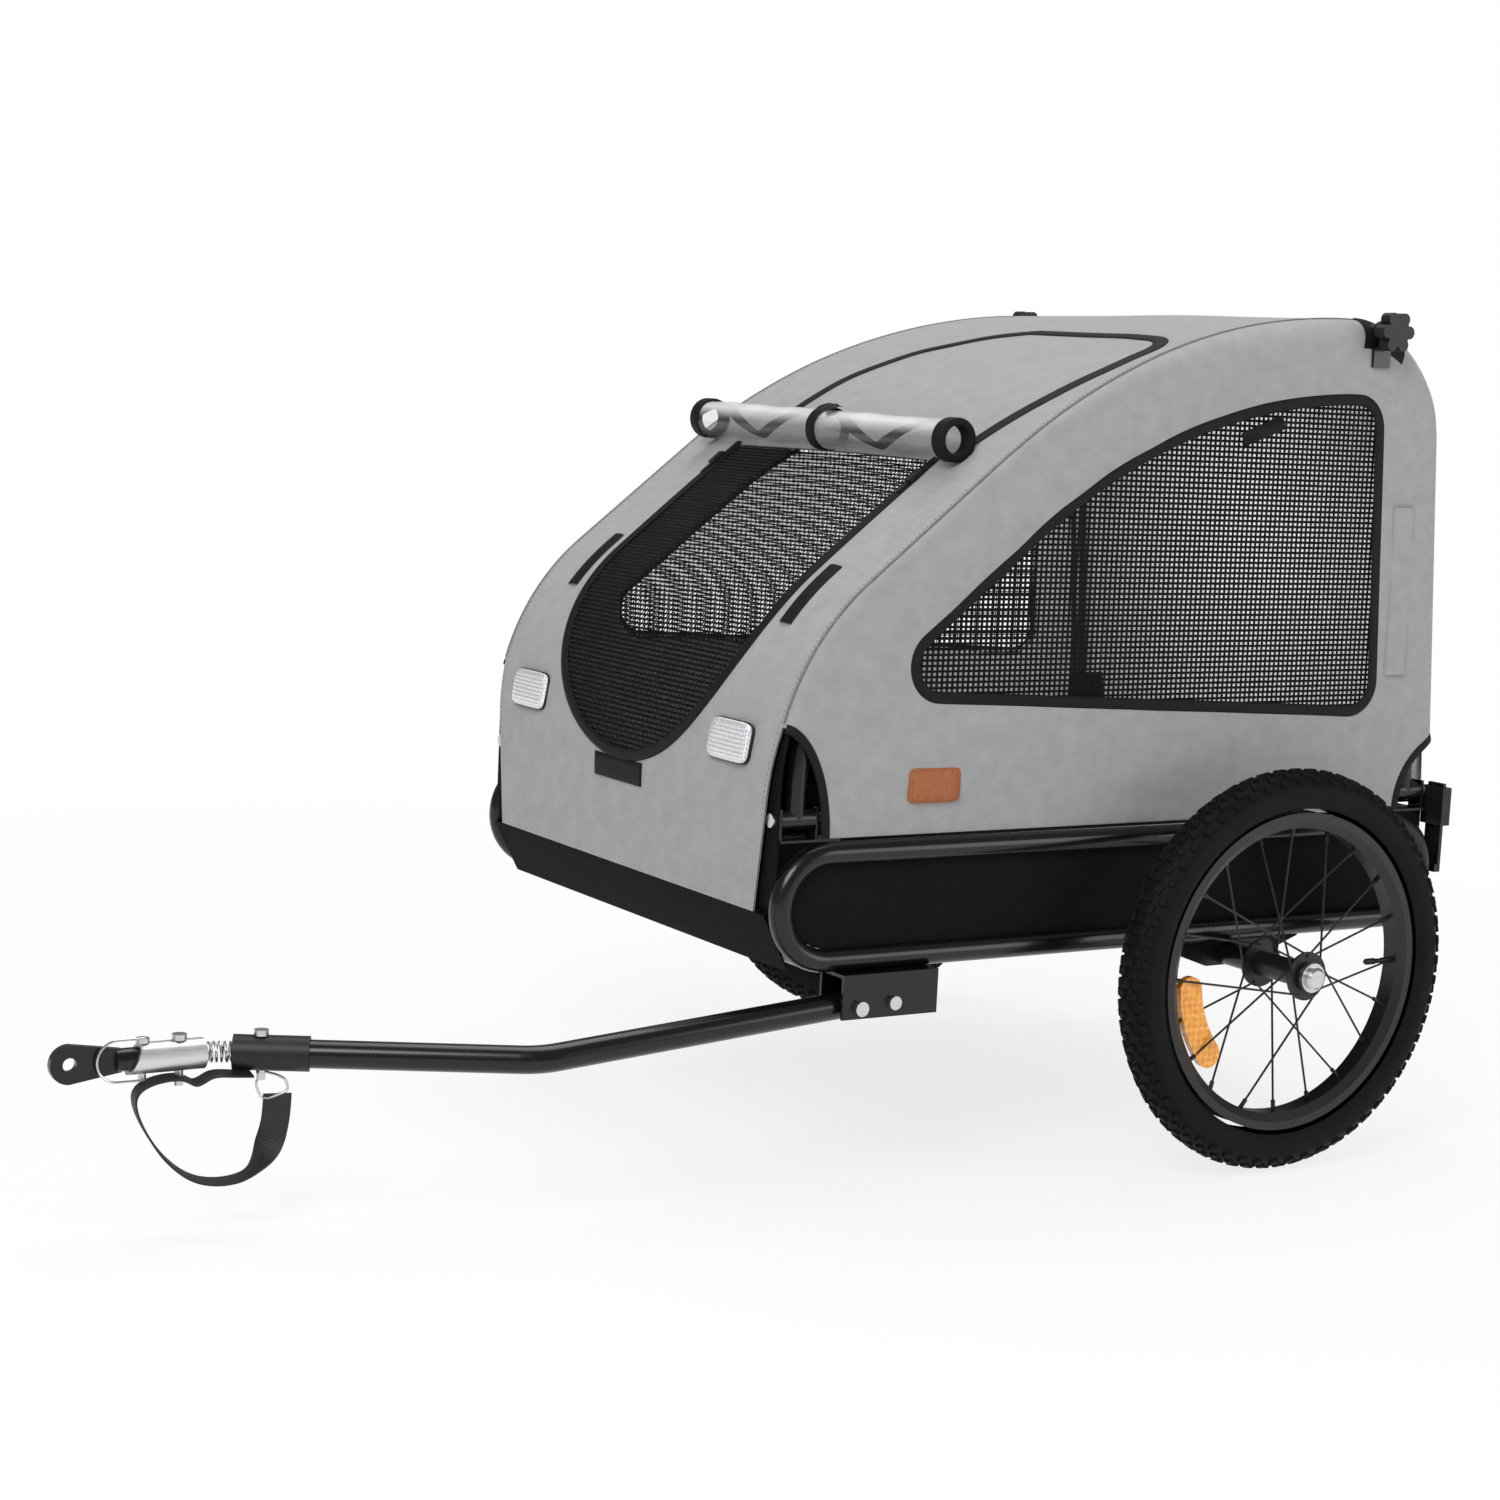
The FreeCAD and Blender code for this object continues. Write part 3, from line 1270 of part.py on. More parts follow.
keep(plain("DrawbarTube", drawbar_shape()), "drawbar_tube")
keep(plain("EndSleeve", end_sleeve_shape()), "drawbar_end_sleeve")
sleeveHalf = size("sleeve_dia") / 2
boltDown = Part.makeCylinder(size("sleeve_bolt_dia") / 2, size("sleeve_dia") + size("sleeve_bolt_proud"),
                             boltX - Vector(0, 0, sleeveHalf + size("sleeve_bolt_proud")), zAxis)
boltHead = Part.makeCylinder(size("bolt_head_dia") / 2, size("bolt_head_thick"),
                             boltX + Vector(0, 0, sleeveHalf + size("run_clear")), zAxis)
boltStem = Part.makeCylinder(size("sleeve_bolt_dia") / 2, size("run_clear"),
                             boltX + Vector(0, 0, sleeveHalf), zAxis)
keep(plain("SleeveBolt", boltDown.fuse(boltStem).fuse(boltHead).removeSplitter()), "drawbar_sleeve_bolt")


# Flex spring: a helix on a line that runs out of the tube, bends and runs into the coupler.
springTurns = 9


def spring_frame(along):
    hide = size("spring_hide")
    show = size("spring_show")
    if along < hide:
        return tubeEnd - armWay * (hide - along), armWay
    if along < hide + show:
        swing = (along - hide) / springBend
        heading = turn - swing
        side = Vector(math.cos(heading), -math.sin(heading), 0)
        spot = tubeEnd + Vector(springBend * (math.sin(turn) - math.sin(heading)), 0, 0)
        spot = spot - Vector(0, springBend * (math.cos(heading) - math.cos(turn)), 0)
        return spot, side
    return couplerStart + Vector(along - hide - show, 0, 0), xAxis


def spring_point(share):
    length = 2 * size("spring_hide") + size("spring_show")
    spot, way = spring_frame(share * length)
    across = zAxis.cross(way)
    angle = 2 * math.pi * springTurns * share
    radius = (size("spring_dia") - size("spring_wire")) / 2
    return spot + across * (radius * math.cos(angle)) + zAxis * (radius * math.sin(angle))


# Two arcs that join two points with given directions.
def biarc(start, startWay, end, endWay):
    gap = end - start
    both = startWay + endWay
    spread = 2 * (1 - startWay.dot(endWay))
    lean = gap.dot(both)
    reach = (math.sqrt(lean * lean + spread * gap.dot(gap)) - lean) / spread
    first = start + startWay * reach
    second = end - endWay * reach
    join = (first + second) * 0.5
    edges = []
    for a, corner, b in ((start, first, join), (join, second, end)):
        middle = (a + b) * 0.5
        half = (b - a).Length / 2
        rise = (corner - middle).Length
        bulge = half * math.tan(math.atan2(rise, half) / 2)
        edges.append(Part.Arc(a, middle + (corner - middle) * (bulge / rise), b).toShape())
    return edges


def spring_shape():
    quarter = 4 * springTurns
    tiny = 1 / (quarter * quarter * quarter)
    edges = []
    for index in range(quarter):
        ends = []
        for number in (index, index + 1):
            share = number / quarter
            low = max(0, share - tiny)
            high = min(1, share + tiny)
            ends.append((spring_point(share), (spring_point(high) - spring_point(low)).normalize()))
        edges.extend(biarc(ends[0][0], ends[0][1], ends[1][0], ends[1][1]))
    samples = 24
    points = [spring_point(index / (samples * springTurns)) for index in range(samples * springTurns + 1)]
    least = min((one - other).Length
                for spot, one in enumerate(points) for other in points[spot + samples // 2:])
    print("least gap between spring turns:", round(least - size("spring_wire"), 2), "mm")
    return wire_along(edges, size("spring_wire") / 2)


keep(plain("FlexSpring", spring_shape()), "hitch_spring")

# Hitch: sleeve, lug with the axle eye, bolt, drop pin, wire clip

coreStart = couplerStart.x + size("spring_hide") + size("spring_wire")
pinX = couplerEnd.x - size("hitch_pin_set")
coreBoltX = coreStart + size("coupler_core") / 2
hitchY = couplerStart.y
hitchZ = couplerStart.z
slantAngle = 24


def upright_hole(x, radius):
    reach = size("coupler_dia")
    return Part.makeCylinder(radius, 2 * reach, Vector(x, hitchY, hitchZ - reach), zAxis)


# Thick sleeve, bored from both ends, with its front mouth cut at a slant.
def coupler_shape():
    outer = Part.makeCylinder(size("coupler_dia") / 2, size("coupler_length"), couplerStart, xAxis)
    boreRadius = size("coupler_bore") / 2
    rearBore = Part.makeCylinder(boreRadius, coreStart - couplerStart.x, couplerStart, xAxis)
    frontStart = Vector(coreStart + size("coupler_core"), hitchY, hitchZ)
    frontBore = Part.makeCylinder(boreRadius, couplerEnd.x - frontStart.x, frontStart, xAxis)
    wide = 2 * size("coupler_dia")
    slant = Part.makeBox(wide, wide, wide, Vector(0, -wide / 2, 0))
    slant.rotate(Vector(), yAxis, -slantAngle)
    slant.translate(couplerEnd - Vector(0, 0, size("coupler_dia") / 2))
    sleeve = outer.cut(rearBore).cut(frontBore).cut(slant)
    sleeve = sleeve.cut(upright_hole(pinX, size("hitch_pin_dia") / 2 + size("run_clear")))
    return sleeve.cut(upright_hole(coreBoltX, size("coupler_bolt_dia") / 2 + size("run_clear")))


# Round neck that flattens into a plate with the eye for the bicycle's axle.
def lug_shape():
    neckStart = coreStart + size("coupler_core") + size("seat_gap")
    half = size("lug_plate_width") / 2
    plateStart = couplerEnd.x + size("overrun")
    neck = Part.makeCylinder(size("lug_neck_dia") / 2, plateStart + size("overrun") - neckStart,
                             Vector(neckStart, hitchY, hitchZ), xAxis)
    thick = size("lug_plate_thick")
    back = size("lug_neck_dia") / 2
    plane = hitchY - thick / 2
    top = [Vector(eye.x, plane, hitchZ + half), Vector(plateStart, plane, hitchZ + back)]
    foot = [Vector(plateStart, plane, hitchZ - back), Vector(eye.x, plane, hitchZ - half)]
    edges = [segment(top[0], top[1]), segment(top[1], foot[0]), segment(foot[0], foot[1]),
             arc((eye.x, hitchZ), half, -math.pi / 2, math.pi / 2, plane)]
    plate = prism(edges, thick)
    bore = Part.makeCylinder(size("eye_dia") / 2, thick, Vector(eye.x, plane, hitchZ), yAxis)
    lug = neck.fuse(plate).removeSplitter().cut(bore)
    return lug.cut(upright_hole(pinX, size("hitch_pin_dia") / 2 + size("run_clear")))


def pin_shape(x, dia, proud, headDia, headThick):
    half = size("coupler_dia") / 2
    clear = size("run_clear")
    stem = Part.makeCylinder(dia / 2, 2 * half + proud + clear,
                             Vector(x, hitchY, hitchZ - half - proud), zAxis)
    head = Part.makeCylinder(headDia / 2, headThick, Vector(x, hitchY, hitchZ + half + clear), zAxis)
    return stem.fuse(head).removeSplitter()


# Wire bail beside the pin, from its head round the front of the sleeve to its lower end.
def clip_shape():
    wire = size("clip_wire") / 2
    plane = hitchY + size("hitch_pin_head_dia") / 2 + wire + size("seat_gap")
    high = hitchZ + size("coupler_dia") / 2 + size("hitch_pin_head_thick") + wire
    low = hitchZ - size("coupler_dia") / 2 - size("hitch_pin_proud") / 2 - wire
    half = (high - low) / 2
    bend = pinX + size("clip_reach") - half
    edges = [
        segment(Vector(pinX, plane, high), Vector(bend, plane, high)),
        arc((bend, (high + low) / 2), half, math.pi / 2, -math.pi / 2, plane),
        segment(Vector(bend, plane, low), Vector(pinX, plane, low)),
    ]
    return wire_along(edges, wire)


keep(plain("Coupler", coupler_shape()), "coupler_sleeve")
keep(plain("CouplerBolt", pin_shape(coreBoltX, size("coupler_bolt_dia"), size("coupler_bolt_proud"),
                                    size("bolt_head_dia"), size("bolt_head_thick"))), "coupler_bolt")
keep(plain("Lug", lug_shape()), "hitch_lug")
keep(plain("HitchPin", pin_shape(pinX, size("hitch_pin_dia"), size("hitch_pin_proud"),
                                 size("hitch_pin_head_dia"), size("hitch_pin_head_thick"))), "hitch_pin")
keep(plain("PinClip", clip_shape()), "pin_clip")

# Safety strap: points of its route, forward of the sleeve bolt and above the hitch's centre line,
# along the sleeve's underside and round the hanging loop to the ring.
strapRoute = [
    (8, -18.2), (24, -17.6), (40, -15.2), (52, -22), (62, -24), (73, -17.8), (90, -18.6), (103, -23.4),
    (110, -33), (110, -47), (104, -64), (93, -82), (77, -97), (58, -107), (38, -111), (19, -106),
    (4, -92), (-3.5, -73), (-5.8, -54), (-5.8, -37),
]
strapWay = Vector(pinX - boltX.x, hitchY - boltX.y, 0).normalize()


def strap_shape():
    points = [Vector(along, 0, up) for along, up in strapRoute]
    radii = []
    for before, corner, after in zip(points, points[1:], points[2:]):
        come = corner - before
        leave = after - corner
        half = come.getAngle(leave) / 2
        radii.append(0.45 * min(come.Length, leave.Length) / math.tan(half))
    print("strap bend radii:", [round(radius) for radius in radii])
    path = Part.Wire(rounded_path(points, radii))
    edges = path.Edges
    first = edges[0].valueAt(edges[0].FirstParameter)
    way = edges[0].tangentAt(edges[0].FirstParameter)
    up = way.cross(yAxis).normalize() * (size("strap_thick") / 2)
    side = yAxis * (size("strap_width") / 2)
    corners = [first + up + side, first + up - side, first - up - side, first - up + side]
    section = Part.makePolygon(corners + corners[:1])
    band = path.makePipeShell([section], True, False)
    share = band.Volume / (path.Length * size("strap_width") * size("strap_thick"))
    print("strap length:", round(path.Length), "mm; volume against section times length:", round(share, 4))
    yaw = math.degrees(math.atan2(strapWay.y, strapWay.x))
    band.rotate(Vector(), zAxis, yaw)
    band.translate(Vector(boltX.x, boltX.y, hitchZ))
    boltHole = upright_hole(coreBoltX, size("coupler_bolt_dia") / 2 + size("seat_gap"))
    return band.cut(boltHole)


# Wire ring that hangs on the sleeve bolt and carries the strap's end.
def ring_shape():
    wire = size("ring_wire") / 2
    half = size("ring_width") / 2
    end = Vector(strapRoute[-1][0], 0, strapRoute[-1][1] + wire + size("seat_gap"))
    top = end + Vector(0, 0, size("ring_height"))
    left = end + Vector(0, half, 0)
    right = end - Vector(0, half, 0)
    start = end
    points = [start, left, top, right, start]
    edges = rounded_path(points, [size("ring_wire")] * 3)
    ring = wire_along(edges, wire)
    yaw = math.degrees(math.atan2(strapWay.y, strapWay.x))
    ring.rotate(Vector(), zAxis, yaw)
    ring.translate(Vector(boltX.x, boltX.y, hitchZ))
    return ring


keep(plain("Strap", strap_shape()), "safety_strap")
keep(plain("StrapRing", ring_shape()), "strap_ring")

doc.recompute()
for thing in doc.Objects:
    if "Invalid" in thing.State or "Error" in thing.State:
        raise RuntimeError(f"{thing.Label} failed: {thing.State}")
for thing in parts:
    if thing.Shape.isNull() or not thing.Shape.isValid():
        raise RuntimeError(f"{thing.Label} has no valid shape")

os.makedirs("parts", exist_ok=True)
for thing in parts:
    thing.Shape.exportStep(f"parts/{thing.Label}.step")
print(len(parts), "parts written; axle at x =", round(axleX, 2))
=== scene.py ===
import json
import math

import bmesh
import bpy
import numpy as np
from mathutils import Matrix, Vector


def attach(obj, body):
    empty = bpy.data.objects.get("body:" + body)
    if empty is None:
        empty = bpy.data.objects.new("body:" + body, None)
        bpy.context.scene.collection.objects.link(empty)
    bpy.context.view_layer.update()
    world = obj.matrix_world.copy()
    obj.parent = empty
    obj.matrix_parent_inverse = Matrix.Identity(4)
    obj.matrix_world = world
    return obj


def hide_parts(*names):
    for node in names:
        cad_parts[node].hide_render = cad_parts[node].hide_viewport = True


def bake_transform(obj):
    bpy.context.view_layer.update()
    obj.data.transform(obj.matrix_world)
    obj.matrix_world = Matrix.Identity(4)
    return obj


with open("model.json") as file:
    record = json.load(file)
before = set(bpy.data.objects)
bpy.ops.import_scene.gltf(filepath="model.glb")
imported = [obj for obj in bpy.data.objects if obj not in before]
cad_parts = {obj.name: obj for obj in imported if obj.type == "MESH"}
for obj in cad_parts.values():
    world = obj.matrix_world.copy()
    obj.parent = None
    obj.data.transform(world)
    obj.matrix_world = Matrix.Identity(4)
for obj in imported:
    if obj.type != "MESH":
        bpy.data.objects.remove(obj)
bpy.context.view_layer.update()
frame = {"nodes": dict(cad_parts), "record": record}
scene = bpy.context.scene
axleX = -442.195
hands = ((1, "left"), (-1, "right"))
print("frame loaded:", len(frame["nodes"]), "nodes")


# Places are worked out in millimetres from the wheel axle, and put into the row frame in metres.
def row(points):
    return (np.asarray(points, float) + (axleX, 0, 0)) / 1000


def putIn(name, data):
    made = bpy.data.objects.new(name, data)
    scene.collection.objects.link(made)
    return made


# Camera, fitted to the photograph

view = {"place": (1871.96, 2404.77, 746.99), "yaw": 31.53, "pitch": 7.45, "roll": 2.69, "lens": 67.0,
        "sensor": 36.0, "farthest": 60.0}


def makeCamera():
    yaw, pitch, roll = (math.radians(view[name]) for name in ("yaw", "pitch", "roll"))
    ahead = Vector((-math.sin(yaw) * math.cos(pitch), -math.cos(yaw) * math.cos(pitch), -math.sin(pitch)))
    right = ahead.cross(Vector((0, 0, 1))).normalized()
    up = right.cross(ahead)
    tiltRight = right * math.cos(roll) + up * math.sin(roll)
    tiltUp = up * math.cos(roll) - right * math.sin(roll)
    data = bpy.data.cameras.new("camera")
    data.lens = view["lens"]
    data.sensor_width = view["sensor"]
    data.clip_end = view["farthest"]
    scene.camera = putIn("camera", data)
    turn = Matrix((tiltRight, tiltUp, -ahead)).transposed().to_4x4()
    scene.camera.matrix_world = Matrix.Translation(row(view["place"])) @ turn


makeCamera()


# Shader maths: a socket that can be added, multiplied and passed to the next node.
class Wire:
    def __init__(self, tree, socket):
        self.tree = tree
        self.socket = socket

    def node(self, kind, inputs=(), output=0, **settings):
        made = self.tree.nodes.new(kind)
        for name, value in settings.items():
            setattr(made, name, value)
        for key, value in dict(inputs).items():
            if isinstance(value, Wire):
                value.into(made.inputs[key])
            else:
                made.inputs[key].default_value = value
        return Wire(self.tree, made.outputs[output])

    def into(self, entry):
        self.tree.links.new(self.socket, entry)

    def maths(self, operation, first, second=0.0):
        return self.node("ShaderNodeMath", {0: first, 1: second}, operation=operation)

    def __add__(self, other):
        return self.maths("ADD", self, other)

    def __sub__(self, other):
        return self.maths("SUBTRACT", self, other)

    def __rsub__(self, other):
        return self.maths("SUBTRACT", other, self)

    def __mul__(self, other):
        return self.maths("MULTIPLY", self, other)

    def size(self):
        return self.maths("ABSOLUTE", self)

    def axis(self, letter):
        return self.node("ShaderNodeSeparateXYZ", {0: self}, output=letter)

    def wave(self, letter, turn):
        return self.maths("SINE", self.axis(letter) * turn)

    def noise(self, scale, detail):
        return self.node("ShaderNodeTexNoise", {"Vector": self, "Scale": scale, "Detail": detail})

    # Noise drawn out by a scale for each axis.
    def streaks(self, scales, detail):
        return self.node("ShaderNodeMapping", {"Vector": self, "Scale": scales}).noise(1, detail)

    def cells(self, scale):
        return self.node("ShaderNodeTexVoronoi", {"Vector": self, "Scale": scale})

    def tint(self, dark, light):
        return self.node("ShaderNodeMix", {0: self, 6: (*dark, 1), 7: (*light, 1)}, output=2, data_type="RGBA")

    def bump(self, strength, distance):
        return self.node("ShaderNodeBump", {"Height": self, "Strength": strength, "Distance": distance})


def makeMaterial(name, constants, look, *values):
    made = bpy.data.materials.new(name)
    made.use_nodes = True
    tree = made.node_tree
    surface = tree.nodes["Principled BSDF"]
    for key, value in constants.items():
        surface.inputs[key].default_value = value
    place = Wire(tree, tree.nodes.new("ShaderNodeTexCoord").outputs["Object"])
    for key, wire in look(place, *values).items():
        wire.into(surface.inputs[key])
    return made


# Pitches and depths of the looks are in metres.
weavePitch, weaveDepth, prismPitch = 0.0016, 0.0006, 0.004


# Woven cloth: threads over and under, with soft mottling.
def wovenLook(place, dark, light, mottle):
    turn = 2 * math.pi / weavePitch
    weave = (place.wave("X", turn) + place.wave("Y", turn)) * place.wave("Z", turn)
    fleck = place.noise(2200, 2)
    cloud = place.noise(55, 4)
    shade = (fleck - 0.5) * mottle + (cloud - 0.5) * 0.55 + weave * 0.06 + 0.5
    return {"Base Color": shade.tint(dark, light), "Normal": (weave * 0.5 + fleck).bump(0.35, weaveDepth)}


def grainLook(place, dark, light, scale, depth, rough):
    grain = place.noise(scale, 4)
    return {"Base Color": grain.tint(dark, light), "Roughness": grain * 0.2 + rough,
            "Normal": grain.bump(0.3, depth)}


# Corner-cube lens seen through a clear face: small cells of differing brightness.
def prismLook(place, dark, light):
    turn = math.pi / prismPitch
    ridges = place.wave("Y", turn).size() + place.wave("Z", turn).size()
    shade = ridges * 0.3 + place.cells(420) * 0.5
    return {"Base Color": shade.tint(dark, light), "Normal": ridges.bump(0.6, 0.0012)}


def lensLook(place, dark, light):
    rings = place.cells(210)
    bars = place.wave("X", 900) + place.wave("Z", 900)
    shade = rings * 0.7 + bars * 0.14 + 0.25
    return {"Base Color": shade.tint(dark, light), "Normal": (rings + bars * 0.3).bump(0.7, 0.001)}


def ribLook(place, dark, light, pitch):
    sloped = place.axis("X") + place.axis("Y") + place.axis("Z")
    ribs = place.maths("SINE", sloped * (2 * math.pi / pitch))
    fleck = place.noise(1500, 2)
    return {"Base Color": (fleck * 0.7 + ribs * 0.15).tint(dark, light),
            "Normal": (ribs * 0.5 + fleck).bump(0.4, 0.0004)}


# Metal drawn along its length, with fine streaks.
def brushedLook(place, dark, light, rough):
    streak = place.streaks((60, 1200, 1200), 4)
    return {"Base Color": streak.tint(dark, light), "Roughness": streak * 0.25 + rough,
            "Normal": streak.bump(0.15, 0.0003)}


def rubberLook(place, dark, light):
    grain = place.noise(900, 3)
    dust = place.noise(30, 3)
    return {"Base Color": (grain * 0.4 + dust * 0.6).tint(dark, light), "Roughness": grain * 0.2 + 0.5,
            "Normal": grain.bump(0.25, 0.0005)}


def paintLook(place, dark, light):
    peel = place.noise(260, 2)
    return {"Base Color": peel.tint(dark, light), "Roughness": peel * 0.1 + 0.22, "Normal": peel.bump(0.06, 0.0004)}


# Clear film with a painted highlight: painted white and more opaque along its upper side, grey and nearly clear below,
# with faint folds.
def filmPaintedHighlightLook(place, dark, light):
    ripple = place.noise(38, 3)
    fold = place.streaks((70, 12, 70), 3)
    # The "upper" attribute marks where the painted highlight goes: there the film is painted white and made less clear.
    upper = place.node("ShaderNodeAttribute", output="Fac", attribute_name="upper")
    return {"Base Color": (upper + fold * 0.4 - 0.15).tint(dark, light), "Alpha": upper * 0.5 + fold * 0.26 + 0.06,
            "Roughness": ripple * 0.1 + 0.04, "Normal": ripple.bump(0.25, 0.003)}


def matt(rough, shine=0.5):
    return {"Roughness": rough, "Specular IOR Level": shine}


def lacquered(rough):
    return {"Roughness": rough, "Coat Weight": 0.8}


greyCloth = makeMaterial("grey_cloth", {**matt(0.88, 0.25), "Sheen Weight": 0.25},
                         wovenLook, (0.222, 0.224, 0.227), (0.408, 0.41, 0.413), 0.95)
blackCloth = makeMaterial("black_cloth", matt(0.8, 0.09),
                          wovenLook, (0.003, 0.003, 0.0033), (0.009, 0.009, 0.0095), 0.7)
bindingCloth = makeMaterial("binding", matt(0.62, 0.2), ribLook, (0.003, 0.003, 0.0033), (0.01, 0.01, 0.0105), 0.0022)
seamCloth = makeMaterial("seam", matt(0.85), ribLook, (0.12, 0.12, 0.122), (0.26, 0.26, 0.262), 0.003)
webbing = makeMaterial("webbing", matt(0.6), ribLook, (0.006, 0.006, 0.0065), (0.022, 0.022, 0.023), 0.003)
netThread = makeMaterial("net_thread", matt(0.7, 0.08),
                         grainLook, (0.003, 0.003, 0.0033), (0.01, 0.01, 0.0105), 1800, 0.0003, 0.6)
thread = makeMaterial("thread", matt(0.7), grainLook, (0.2, 0.2, 0.205), (0.34, 0.34, 0.345), 2500, 0.0002, 0.6)
leather = makeMaterial("leather", matt(0.6), grainLook, (0.2, 0.055, 0.016), (0.43, 0.14, 0.042), 420, 0.0006, 0.5)
satin = makeMaterial("satin_black", {"Specular IOR Level": 0.45},
                     grainLook, (0.004, 0.004, 0.0043), (0.009, 0.009, 0.0095), 500, 0.0003, 0.3)
plastic = makeMaterial("black_plastic", {"Specular IOR Level": 0.4},
                       grainLook, (0.004, 0.004, 0.0043), (0.01, 0.01, 0.0105), 1400, 0.0003, 0.35)
rubber = makeMaterial("rubber", {"Specular IOR Level": 0.1},
                      rubberLook, (0.0025, 0.0025, 0.0027), (0.009, 0.009, 0.0094))
paint = makeMaterial("black_paint", {"Coat Weight": 0.25, "Coat Roughness": 0.12, "Specular IOR Level": 0.3},
                     paintLook, (0.0025, 0.0025, 0.0028), (0.006, 0.006, 0.0064))
# The film's light colour is the painted highlight along the top of the roll, and its dark colour is the grey of the
# rest of the film.
film = makeMaterial("film", {"Specular IOR Level": 0.8}, filmPaintedHighlightLook, (0.2, 0.204, 0.208), (0.93, 0.935, 0.94))
steel = makeMaterial("bright_steel", {"Metallic": 1.0}, brushedLook, (0.5, 0.5, 0.51), (0.72, 0.72, 0.73), 0.16)
alloy = makeMaterial("bare_alloy", {"Metallic": 1.0}, brushedLook, (0.6, 0.6, 0.61), (0.8, 0.8, 0.81), 0.3)
clearLens = makeMaterial("clear_lens", {**lacquered(0.12), "Metallic": 0.35},
                         prismLook, (0.5, 0.52, 0.56), (0.95, 0.96, 0.98))
redLens = makeMaterial("red_lens", lacquered(0.14), prismLook, (0.18, 0.004, 0.004), (0.6, 0.02, 0.015))
amberLens = makeMaterial("amber_lens", lacquered(0.16), lensLook, (0.62, 0.16, 0.002), (0.95, 0.42, 0.02))
slotLooks = {
    "painted_frame": paint, "grey_cover": greyCloth, "black_cloth": blackCloth, "black_mesh": netThread,
    "webbing": webbing, "clear_film": film, "tyre": rubber, "black_rim": satin, "bright_steel": steel,
    "bearing_steel": steel, "black_plastic": plastic, "bare_alloy": alloy, "clear_reflector": clearLens,
    "red_reflector": redLens, "amber_reflector": amberLens,
}
for part in frame["record"]["subparts"]:
    node = frame["nodes"][part["node"]]
    node.data.materials.clear()
    node.data.materials.append(slotLooks[part["material_slot"]])
print("materials made:", len(bpy.data.materials))


# Helpers for lines and grids of points
def unit(vectors):
    return vectors / np.linalg.norm(vectors, axis=-1, keepdims=True)


def columns(*values):
    return np.stack(np.broadcast_arrays(*values), 1)


def ease(share):
    return share * share * (3 - 2 * share)


# Every value of the first list with every value of the second.
def spread(first, second):
    return np.repeat(first, len(second)), np.tile(second, len(first))


# How far along a line its points lie.
def runOf(line):
    return np.concatenate(([0], np.cumsum(np.linalg.norm(np.diff(line, axis=0), axis=1))))


def flowOf(line, loop=False):
    return unit(np.roll(line, -1, 0) - np.roll(line, 1, 0) if loop else np.gradient(line, axis=0))


# Points spaced out anew along a flat line.
def respace(line, spots, run):
    return columns(*(np.interp(spots, run, line[:, column]) for column in range(2)))


def roundCorner(first, corner, last, count):
    t = np.linspace(0, 1, count)[:, None]
    return (1 - t) ** 2 * first + 2 * t * (1 - t) * corner + t * t * last


# A line through corners, each rounded from a radius before it to a radius after it.
def smoothLine(corners, radius, count=10):
    corners = np.array(corners, float)
    bends = [roundCorner(corner + unit(before - corner) * radius, corner, corner + unit(after - corner) * radius, count)
             for before, corner, after in zip(corners, corners[1:], corners[2:])]
    line = np.concatenate((corners[:1], *bends, corners[-1:]))
    run = runOf(line)
    return respace(line, np.linspace(0, run[-1], max(int(run[-1] / 6), 6)), run)


# Outline of a box with rounded corners: the lower the power, the squarer.
def boxRing(wide, high, power, count):
    steps = np.linspace(0, 2 * math.pi, count, endpoint=False)
    return columns(*(np.sign(turn) * np.abs(turn) ** power * half
                     for turn, half in ((np.cos(steps), wide), (np.sin(steps), high))))


# Distance of points from a line, and where along the line they are nearest.
def nearLine(points, line):
    best, spot, run = np.full(len(points), 1e9), np.zeros(len(points)), runOf(line)
    for start, end, far in zip(line[:-1], line[1:], run):
        way = end - start
        share = np.clip(((points - start) @ way) / max(way @ way, 1e-9), 0, 1)
        gap = np.linalg.norm(points - start - share[:, None] * way, axis=1)
        spot = np.where(gap < best, far + share * np.linalg.norm(way), spot)
        best = np.minimum(best, gap)
    return best, spot


# Where rays from a centre meet an outline round it.
def castOut(outline, centre, angles):
    outline = outline - centre
    turns = np.unwrap(np.arctan2(outline[:, 1], outline[:, 0]))
    spots = np.interp(angles, turns, np.arange(len(turns)))
    low = np.clip(np.floor(spots).astype(int), 0, len(turns) - 2)
    first, edge = outline[low], outline[low + 1] - outline[low]
    way = columns(np.cos(angles), np.sin(angles))
    cross = way[:, 0] * edge[:, 1] - way[:, 1] * edge[:, 0]
    far = (first[:, 0] * edge[:, 1] - first[:, 1] * edge[:, 0]) / cross
    return centre + way * far[:, None]


# Mesh helpers
boxFaces = [(4, 5, 6, 7), (0, 1, 5, 4), (1, 2, 6, 5), (2, 3, 7, 6), (3, 0, 4, 7)]


def gridFaces(rows, across, loop=False):
    faces = []
    for line in range(0, (rows - 1) * across, across):
        for spot in range(across if loop else across - 1):
            after = (spot + 1) % across
            faces.append((line + spot, line + after, line + across + after, line + across + spot))
    return faces


def shifted(faces, count):
    return [tuple(index + count for index in face) for face in faces]


def showMesh(name, mesh, material, smooth=True):
    mesh.materials.clear()
    mesh.materials.append(material)
    mesh.update()
    mesh.polygons.foreach_set("use_smooth", [smooth] * len(mesh.polygons))
    return putIn(name, mesh)


def addPiece(name, points, faces, material, smooth=True):
    mesh = bpy.data.meshes.new(name)
    mesh.from_pydata([tuple(point) for point in row(points)], [], faces)
    return showMesh(name, mesh, material, smooth)


